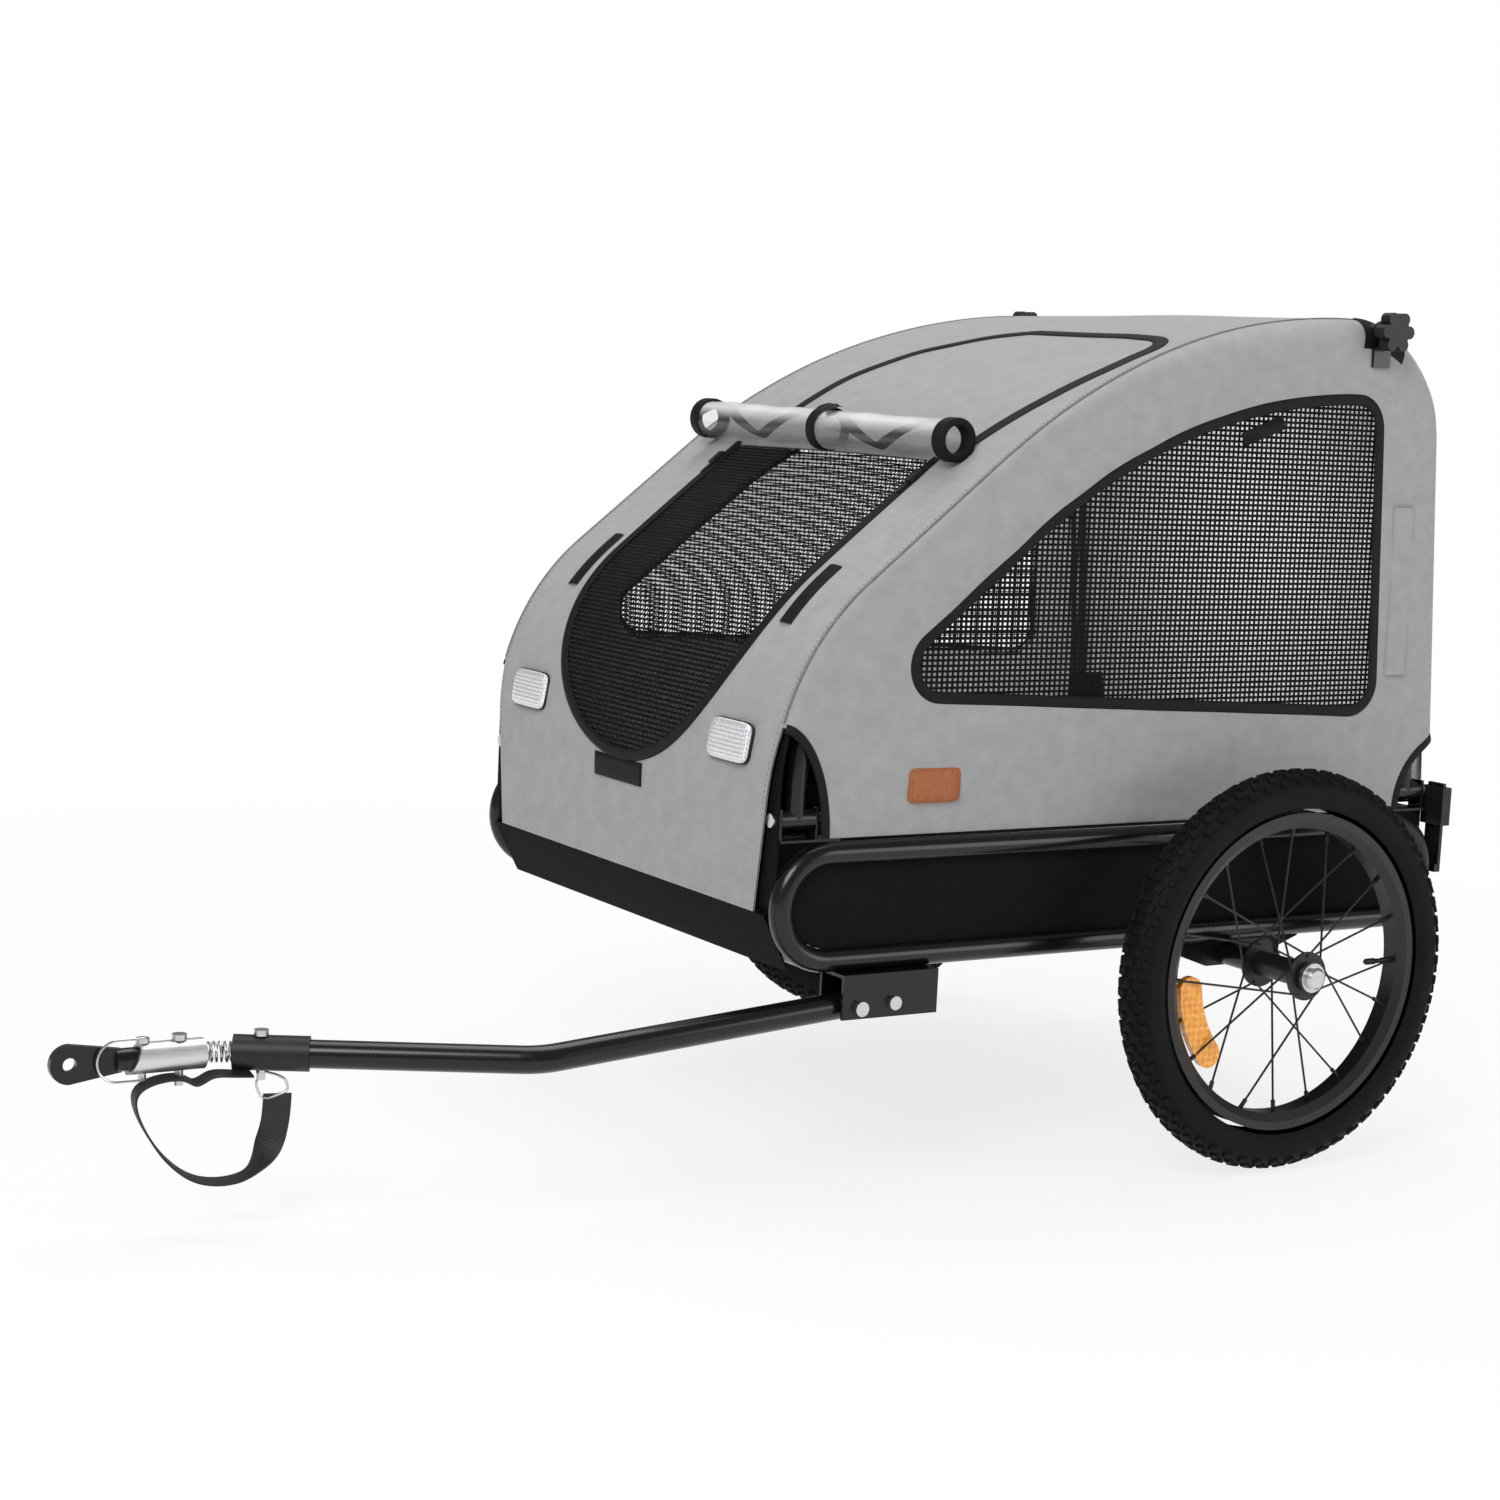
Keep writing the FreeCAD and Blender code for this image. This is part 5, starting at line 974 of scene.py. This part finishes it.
hatch = {"width": 16.0, "bend": 16.0,
         "left": [(697, 212), (745, 233), (779, 246), (801, 246), (809, 222), (811.5, 160), (812, 0)],
         "right": [(712, 158), (757, 148), (789, 116), (806, 50), (812, 0)]}
hook = {"low": 528.0, "high": 581.0, "across": 213.0, "width": 20.0}


def addFrontTrim(side, hand):
    def band(name, spots, width, height):
        stations, across = spots[:, 0], spots[:, 1] * side
        line, facing = sheetPoint(stations, across, 0.2), sheetFacing(stations, across)
        bendWithSide(addBand(name + "_" + hand, line, facing, width, height, bindingCloth))

    band("door_binding", doorOutline(door["hem"])[:-29], door["binding"], 1.8)
    # Zip of the roof hatch, up from the roll and round the rear corner.
    zipLine = smoothLine([(reachAt(height), across) for height, across in hatch[hand]], hatch["bend"])
    band("hatch_zip", zipLine, hatch["width"], 1.6)
    # Hook patches that hold the rain cover down.
    band("hook_patch", columns(np.linspace(reachAt(hook["low"]), reachAt(hook["high"]), 14), hook["across"]),
         hook["width"], 2.2)
    stations = np.linspace(sheetSplit + 2, sheetEnd, 200)
    across = (seamHalf(stations) - 4) * side
    line = sheetPoint(stations, across, 0.1)
    places = [((before + after) / 2, after - before, up)
              for before, after, up in zip(line, line[1:], sheetFacing(stations, across))]
    bendWithSide(addStitches("roof_stitches_" + hand, places, seamCloth))


# Black cloth that carries on from the front sheet, round to the hinges.
frontEdge = {"top": 436.0, "under": 6.0, "across": 287.0}


def addFrontEdge(side, hand):
    stations, shares = spread(np.linspace(2, reachAt(frontEdge["top"]), 24), np.linspace(0, 1, 5))
    start = seamHalf(stations) - frontEdge["under"]
    points = onOutline(stations, (start + (frontEdge["across"] - start) * shares) * side, -frontEdge["under"])
    piece = setOutward(addPiece("front_edge_" + hand, points, gridFaces(24, 5), blackCloth))
    bendAtHinge(thicken(piece, cabin["cloth"]))


# Zip slider of the door, with its pull lying down the zip.
slider = {"long": 9.0, "wide": 5.0, "high": 4.0, "pull": 15.0, "across": 186.0, "heights": (664.0, 650.0)}


def addSlider(side, hand):
    long, wide, high, pull = (slider[name] for name in ("long", "wide", "high", "pull"))
    points = [(x, y, z) for start, end, half, top in ((-long, long, wide, high),
                                                      (long - 2, long + pull, wide / 2, high / 2))
              for z in (0, top) for x, y in ((start, -half), (end, -half), (end, half), (start, half))]
    stations = np.array([reachAt(height) for height in slider["heights"]])
    across = np.full(2, slider["across"] * side)
    spots, facing = sheetPoint(stations, across, 1.5), sheetFacing(stations, across)
    piece = repeatItem("door_slider_" + hand, points, boxFaces + shifted(boxFaces, 8),
                       [(spots[0], spots[1] - spots[0], facing[0])], plastic)
    bendWithSide(piece)


footPatch = {"stations": (84.0, 107.0), "across": (-50.0, 44.0), "thick": 1.5, "lift": 1.6}


def addFootPatch():
    stations, across = spread(np.linspace(*footPatch["stations"], 5), np.linspace(*footPatch["across"], 20))
    points = sheetPoint(stations, across, footPatch["lift"])
    piece = setOutward(addPiece("foot_hook_patch", points, gridFaces(5, 20), bindingCloth))
    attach(thicken(piece, footPatch["thick"]), "chassis")


for side, hand in hands:
    addSheetHalf(side, hand)
    addDoorMesh(side, hand)
    addFrontTrim(side, hand)
    addFrontEdge(side, hand)
    addSlider(side, hand)
addSheetFoot()
addFootPatch()
print("front and roof made")

# Rain cover rolled up above the door, in clear film with bound ends and a tie

roll = {"turn": 52.0, "out": 21.0, "radius": 20.5, "core": 17.0, "bore": 14.2, "left": 228.0, "right": 243.0,
        "turns": 1.6, "start": 2.4, "bound": 14.0, "rise": 5.0, "ribbon": 11.0}
roll["x"] = cornerX + (cabin["roofRadius"] + roll["out"]) * math.cos(math.radians(roll["turn"]))
roll["z"] = roofZ + (cabin["roofRadius"] + roll["out"]) * math.sin(math.radians(roll["turn"]))


# The roll lies a little higher towards its far end.
def rollHeight(y):
    return roll["z"] + roll["rise"] * (roll["left"] - y) / (roll["left"] + roll["right"])


def addRoll(side, hand):
    half = roll[hand]
    ys, angles = spread(np.linspace(0, half, 40) * side, np.linspace(0, 2 * math.pi * roll["turns"], 90))
    turns = angles + roll["start"]
    radius = roll["core"] + (roll["radius"] - roll["core"]) * angles / angles[-1]
    radius = radius + 0.35 * np.sin(3 * angles + ys / 19) + 0.3 * np.sin(ys / 11 - angles)
    points = columns(roll["x"] + radius * np.cos(turns), ys, rollHeight(ys) + radius * np.sin(turns))
    piece = addPiece("rain_roll_" + hand, points, gridFaces(40, 90), film)
    # Painted highlight mask: points on the side of the roll facing up and a little forward are marked to be painted
    # white.
    upper = np.clip((np.cos(turns) * 0.25 + np.sin(turns) * 0.97 - 0.3) / 0.6, 0, 1)
    piece.data.attributes.new("upper", "FLOAT", "POINT").data.foreach_set("value", upper)
    standIn(piece, "rain_cover_roll")
    bendWithSide(piece)
    # The cover's bound edge shows through the film as a dark ribbon that winds to and fro along the roll.
    ways = np.linspace(4, half - 6, 70)
    swing = 0.25 + 1.15 * np.arcsin(np.sin(ways / 27 + 0.6)) / 1.571
    facing = columns(np.cos(swing), 0, np.sin(swing))
    line = columns(roll["x"], ways * side, rollHeight(ways * side)) + facing * (roll["core"] - 1.5)
    bendWithSide(addBand("roll_ribbon_" + hand, line, facing, roll["ribbon"], 1.0, bindingCloth))
    inner, outer = roll["bore"], roll["radius"] + 1.0
    low, high = side * (half - roll["bound"]), side * (half + 2)
    section = [(inner, low), (outer - 1, low), (outer, low + side * 1.5), (outer, high - side * 1.5),
               (outer - 1.5, high), (inner + 1, high), (inner, high - side), (inner, low)]
    bendWithSide(lathe("roll_end_" + hand, section, (roll["x"], rollHeight(side * half)), 40, bindingCloth))


# Tie round the middle of the roll, with its two loose ends.
tie = {"half": 8.0, "width": 13.0, "facing": (0.35, 0, 0.94),
       "near": [(-9, 4, 21), (2, 9, 23.5), (8, 17, 22), (13, 26, 18.5)],
       "far": [(-12, -4, 20), (-9, -12, 22.5), (-8, -22, 23), (-13, -33, 21)]}


def addTie():
    x, z, radius, half = roll["x"], rollHeight(0), roll["radius"], tie["half"]
    section = [(radius + 0.6, -half), (radius + 1.8, 0.5 - half), (radius + 1.8, half - 0.5), (radius + 0.6, half)]
    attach(lathe("roll_tie", section, (x, z), 40, bindingCloth), "chassis")
    for name in ("near", "far"):
        shares = np.linspace(0, 3, 20)
        line = columns(*(np.interp(shares, range(4), values) for values in zip(*tie[name]))) + (x, 0, z)
        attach(addBand("roll_tie_" + name, line, tie["facing"], tie["width"], 1.6, bindingCloth), "chassis")


for side, hand in hands:
    addRoll(side, hand)
addTie()

# Reflectors on the front cloth, with a dished lens in a dark case

lens = {"across": 205.0, "level": 419.0, "wide": 36.0, "high": 19.0, "deep": 6.5, "case": 4.0, "square": 0.35}


def addLens(side, hand):
    x, z, outX, outZ = along(reachAt(lens["level"]))

    def block(grow, start, deep, dome):
        ring = boxRing(lens["wide"] + grow, lens["high"] + grow, lens["square"], 48)
        points = []
        for share, depth in ((1, 0), (1, deep - dome), (0.9, deep - dome * 0.35), (0.7, deep), (0.4, deep),
                             (0.001, deep)):
            points += [(x + outX * (start + depth) - outZ * up * share, side * lens["across"] + y * share,
                        z + outZ * (start + depth) + outX * up * share) for y, up in ring]
        return points, gridFaces(6, 48, True)

    bendWithSide(addPiece("reflector_case_" + hand, *block(1, 0.8, lens["case"], 1), plastic))
    face = addPiece("reflector_lens_" + hand, *block(0, 1.5, lens["deep"], 2.5), clearLens)
    bendWithSide(face)
    standIn(face, "front_reflectors")


for side, hand in hands:
    addLens(side, hand)
print("roll and reflectors made")

# Patch and tag on the side cloth, left blank

badge = {"x": 372.0, "z": 384.0, "wide": 29.0, "high": 16.5, "thick": 1.6, "depth": 292.5, "square": 0.25,
         "stitch": 3.6, "hem": 0.9}
tag = {"corners": [(25.5, 722.0), (-26.0, 742.0), (-31.0, 728.0), (20.5, 709.0)], "depth": 291.4, "thick": 1.2}


def addBadge(side, hand):
    body, base, thick = hand + "_side", badge["depth"], badge["thick"]
    ring = boxRing(badge["wide"], badge["high"], badge["square"], 44)
    points = [(badge["x"] + x * share, side * (base + out), badge["z"] + z * share)
              for share, out in ((1, -2), (1, 0.8), (0.97, thick), (0.5, thick), (0.02, thick)) for x, z in ring]
    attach(addPiece("side_patch_" + hand, points, gridFaces(5, 44, True), leather), body)
    loop = np.concatenate((ring, ring[:1])) * badge["hem"]
    run = runOf(loop)
    spots = respace(loop, np.arange(0, run[-1], badge["stitch"]), run)
    places = [((badge["x"] + x, side * (base + thick), badge["z"] + z), (afterX - x, 0, afterZ - z), (0, side, 0))
              for (x, z), (afterX, afterZ) in zip(spots, np.roll(spots, -1, 0))]
    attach(addStitches("patch_stitches_" + hand, places, leather), body)
    points = [(x, side * tag["depth"], z) for x, z in tag["corners"]]
    piece = addPiece("window_tag_" + hand, points, [(0, 1, 2, 3)], bindingCloth)
    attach(thicken(piece, tag["thick"], 0), body)


for side, hand in hands:
    addBadge(side, hand)

# Cloth walls of the tub and the rear flap


# Cloth between four corners, swelling in the middle.
def addSheet(name, node, corners, swell, body, cells=(24, 12)):
    first, second, third, fourth = np.array(corners, float)
    facing = unit(np.cross(second - first, fourth - first))
    points = []
    for up in np.linspace(0, 1, cells[1]):
        for wide in np.linspace(0, 1, cells[0]):
            spot = (first * (1 - wide) + second * wide) * (1 - up) + (fourth * (1 - wide) + third * wide) * up
            points.append(spot + facing * swell * (math.sin(math.pi * wide) * math.sin(math.pi * up)) ** 0.6)
    piece = addPiece(name, points, gridFaces(cells[1], cells[0]), blackCloth)
    thicken(piece, cabin["cloth"], rim=False)
    standIn(piece, node, body)
    wide = max(np.linalg.norm(second - first), np.linalg.norm(third - fourth)) * 1.004
    return piece


tub = {"half": 278.5, "floor": (-267.0, 512.0, 239.0), "front": ((515.5, 212.5), (545.0, 267.5)),
       "rear": ((-269.5, 224.0), (-269.5, 335.5)), "ends": (484.0, -212.0), "middle": 274.0, "radius": 38.7,
       "depth": 288.6, "swell": 3.6, "ripple": 0.8}


def addTub():
    half, rails = tub["half"], ["side_rail_left", "side_rail_right"]
    for name, side in (("front", -1), ("rear", 1)):
        (lowX, lowZ), (highX, highZ) = tub[name]
        addSheet(name + "_wall", name + "_apron", [
            (lowX, side * half, lowZ), (lowX, -side * half, lowZ), (highX, -side * half, highZ),
            (highX, side * half, highZ)], 2.0, "chassis")
    rear, front, level = tub["floor"]
    addSheet("floor_cloth", "floor_panel", [(rear, -half, level), (front, -half, level), (front, half, level),
                                            (rear, half, level)], -1.5, "chassis", (30, 20))


# Panel within the loop of a side rail, drawn in to a line along its middle.
def addTubWall(side, hand):
    radius, middle, (front, rear) = tub["radius"], tub["middle"], tub["ends"]
    outline = np.array([(end + radius * math.cos(a), middle + radius * math.sin(a))
                        for end, start in ((front, -math.pi / 2), (rear, math.pi / 2))
                        for a in np.linspace(start, start + math.pi, 24)])
    dense = []
    for first, second in zip(outline, np.roll(outline, -1, 0)):
        count = max(int(np.linalg.norm(second - first) / 12), 1)
        dense += [first + (second - first) * step / count for step in range(count)]
    dense = np.array(dense)
    spine = columns(np.clip(dense[:, 0], rear, front), middle)
    points = []
    for share in (0, 0.12, 0.3, 0.5, 0.7, 0.88, 0.999):
        x, z = (dense + (spine - dense) * share).T
        waves = tub["ripple"] * np.sin(x / 29) * share * (1 - share) * 4
        points.append(columns(x, side * (tub["depth"] + tub["swell"] * math.sin(math.pi / 2 * share) + waves), z))
    piece = addPiece("tub_wall_" + hand, np.concatenate(points), gridFaces(7, len(dense), True), blackCloth)
    thicken(piece, cabin["cloth"], rim=False)
    standIn(piece, "lower_panels", "chassis")


rearDoor = {"half": 272.0, "top": 735.5, "foot": 341.5, "out": 2.9, "swell": 5.0, "hem": 7.0, "bend": 40.0, "zip": 9.0}


def addRearDoor():
    half, hem = rearDoor["half"], rearDoor["hem"]
    top, foot = rearReachAt(rearDoor["top"]), rearReachAt(rearDoor["foot"])
    stations, y = spread(np.linspace(top, foot, 26), np.linspace(-half, half, 40))
    share = np.repeat(np.linspace(0, 1, 26), 40)
    out = rearDoor["out"] + rearDoor["swell"] * (1 - (y / half) ** 2) * np.sin(math.pi * share) ** 0.7
    piece = setOutward(addPiece("rear_cloth", onOutline(stations, y, out), gridFaces(26, 40), greyCloth))
    thicken(piece, cabin["cloth"], rim=False)
    standIn(piece, "rear_door", "rear_flap")
    low, high, side = foot - 4, top + hem, half - hem
    edge = smoothLine([(low, side), (high, side), (high, -side), (low, -side)], rearDoor["bend"], 14)
    line = onOutline(edge[:, 0], edge[:, 1], 3.2)
    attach(addBand("rear_zip", line, facingAt(edge[:, 0]), rearDoor["zip"], 1.6, bindingCloth), "rear_flap")


# Black lining that shows in the notches round the hinges.
lining = {"depth": 263.5, "front": [(486, 340), (540, 340), (528, 436), (486, 446)],
          "rear": [(-268, 340), (-214, 340), (-214, 420), (-262, 420)]}


def addLinings(side, hand):
    for name in ("front", "rear"):
        corners = [(x, side * lining["depth"], z) for x, z in lining[name][::-side]]
        piece = addSheet(f"hinge_lining_{name}_{hand}", None, corners, 1.0, None, (8, 14))
        bendAtHinge(piece)


addTub()
for side, hand in hands:
    addTubWall(side, hand)
addRearDoor()
for side, hand in hands:
    addLinings(side, hand)
print("tub and rear flap made")

# Tyres with moulded blocks, and their valves

tyre = {"plane": 378.0, "height": 200.0, "ring": 176.5, "casing": 21.2, "open": 2.28, "ridge": 0.55,
        "ridges": (1.25, 1.8), "count": 58, "knob": (4.6, 3.7, 2.5),
        "rows": ((-0.86, 0.5, 0.3), (-0.5, 0, -0.35), (-0.17, 0.5, 0.2), (0.17, 0, -0.2), (0.5, 0.5, 0.35),
                 (0.86, 0, -0.3)),
        "valve": ((3.0, 144), (3.0, 131), (2.4, 130), (2.4, 122), (3.2, 121), (3.2, 110), (2.0, 108), (0.1, 108))}


def addTyre(side, hand):
    plane, height = side * tyre["plane"], tyre["height"]
    section = []
    for angle in np.linspace(-tyre["open"], tyre["open"], 45):
        onRidge = any(abs(abs(angle) - ridge) < 0.05 for ridge in tyre["ridges"])
        radius = tyre["casing"] + (tyre["ridge"] if onRidge else 0)
        section.append((tyre["ring"] + radius * math.cos(angle), plane + radius * math.sin(angle)))
    casing = lathe("tyre_casing_" + hand, section, (0, height), 128, rubber)
    long, wide, high = tyre["knob"]
    knob = [(x * long, y * wide, z) for long, wide, z in ((long, wide, -1), (long * 0.82, wide * 0.8, high))
            for x, y in ((-1, -1), (1, -1), (1, 1), (-1, 1))]
    places = []
    for lean, shift, skew in tyre["rows"]:
        for index in range(tyre["count"]):
            angle = 2 * math.pi * (index + shift) / tyre["count"]
            out = np.array((math.cos(angle), 0, math.sin(angle)))
            facing = out * math.cos(lean) + np.array((0, math.sin(lean), 0))
            spot = np.array((0, plane, height)) + out * tyre["ring"] + facing * tyre["casing"]
            places.append((spot, (-math.sin(angle), skew, math.cos(angle)), facing))
    knobs = repeatItem("tyre_knobs_" + hand, knob, boxFaces, places, rubber)
    points = [(-far, plane + radius * math.cos(a), height + radius * math.sin(a)) for radius, far in tyre["valve"]
              for a in np.linspace(0, 2 * math.pi, 14, endpoint=False)]
    stem = addPiece("valve_" + hand, points, gridFaces(len(tyre["valve"]), 14, True), plastic)
    standIn(casing, "tyre_" + hand, hand + "_wheel")
    standIn(knobs, None, hand + "_wheel")
    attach(stem, hand + "_wheel")


for side, hand in hands:
    addTyre(side, hand)
print("tyres made")

# Floor, light and background

stage = {"half": 30.0, "level": -0.002, "floor": 0.9, "rough": 0.9, "sky": 0.36, "shine": 0.24}
middle = (0.0, 0.0, 0.4)
# Place, target, size and power of each light.
lights = {
    "key": ((2.6, 2.2, 3.0), middle, 2.2, 105.0), "fill": ((-2.4, 3.0, 1.2), middle, 2.0, 30.0),
    "top": ((-0.6, -0.6, 3.4), middle, 2.6, 55.0),
    "inside": (tuple(row((10, 0, 580))), tuple(row((-270, 0, 500))), 0.36, 2.4),
}


def addLight(name, place, target, size, power):
    data = bpy.data.lights.new(name, "AREA")
    data.shape = "DISK"
    data.size = size
    data.energy = power
    lamp = putIn(name, data)
    lamp.visible_camera = False
    lamp.location = place
    lamp.rotation_euler = (Vector(target) - Vector(place)).to_track_quat("-Z", "Y").to_euler()


# White floor that glows more and more with its distance, so that it runs into the background.
def makeFloor():
    half = stage["half"]
    mesh = bpy.data.meshes.new("floor")
    mesh.from_pydata([(x * half, y * half, stage["level"]) for x, y in ((-1, -1), (1, -1), (1, 1), (-1, 1))], [],
                     [(0, 1, 2, 3)])
    putIn("floor", mesh)
    pale = bpy.data.materials.new("floor")
    pale.use_nodes = True
    tree = pale.node_tree
    surface = tree.nodes["Principled BSDF"]
    surface.inputs["Base Color"].default_value = (stage["floor"],) * 3 + (1,)
    surface.inputs["Roughness"].default_value = stage["rough"]
    glow = tree.nodes.new("ShaderNodeEmission")
    glow.inputs["Strength"].default_value = 1.0
    mix = tree.nodes.new("ShaderNodeMixShader")
    place = Wire(tree, tree.nodes.new("ShaderNodeTexCoord").outputs["Object"])
    distance = place.node("ShaderNodeVectorMath", {0: place}, output="Value", operation="LENGTH")
    share = distance.node("ShaderNodeMapRange", {"Value": distance, "From Min": 0.5, "From Max": 2.2,
                                                 "To Min": 0.8, "To Max": 1.0})
    share.into(mix.inputs[0])
    tree.links.new(surface.outputs[0], mix.inputs[1])
    tree.links.new(glow.outputs[0], mix.inputs[2])
    tree.links.new(mix.outputs[0], tree.nodes["Material Output"].inputs["Surface"])
    mesh.materials.append(pale)


# White where it is seen, and dimmer where it lights or mirrors.
def makeSky():
    scene.world = bpy.data.worlds.new("world")
    scene.world.use_nodes = True
    tree = scene.world.node_tree
    back = tree.nodes["Background"]
    back.inputs["Color"].default_value = (1, 1, 1, 1)
    rays = tree.nodes.new("ShaderNodeLightPath")
    seen, through, mirrored = (Wire(tree, rays.outputs[f"Is {kind} Ray"])
                               for kind in ("Camera", "Transmission", "Glossy"))
    clear = seen.maths("MAXIMUM", seen, through)
    shine = mirrored * (stage["shine"] - stage["sky"]) + stage["sky"]
    (clear + (1.0 - clear) * shine).into(back.inputs["Strength"])


makeFloor()
makeSky()
for name, values in lights.items():
    addLight(name, *values)
scene.view_settings.view_transform = "Standard"
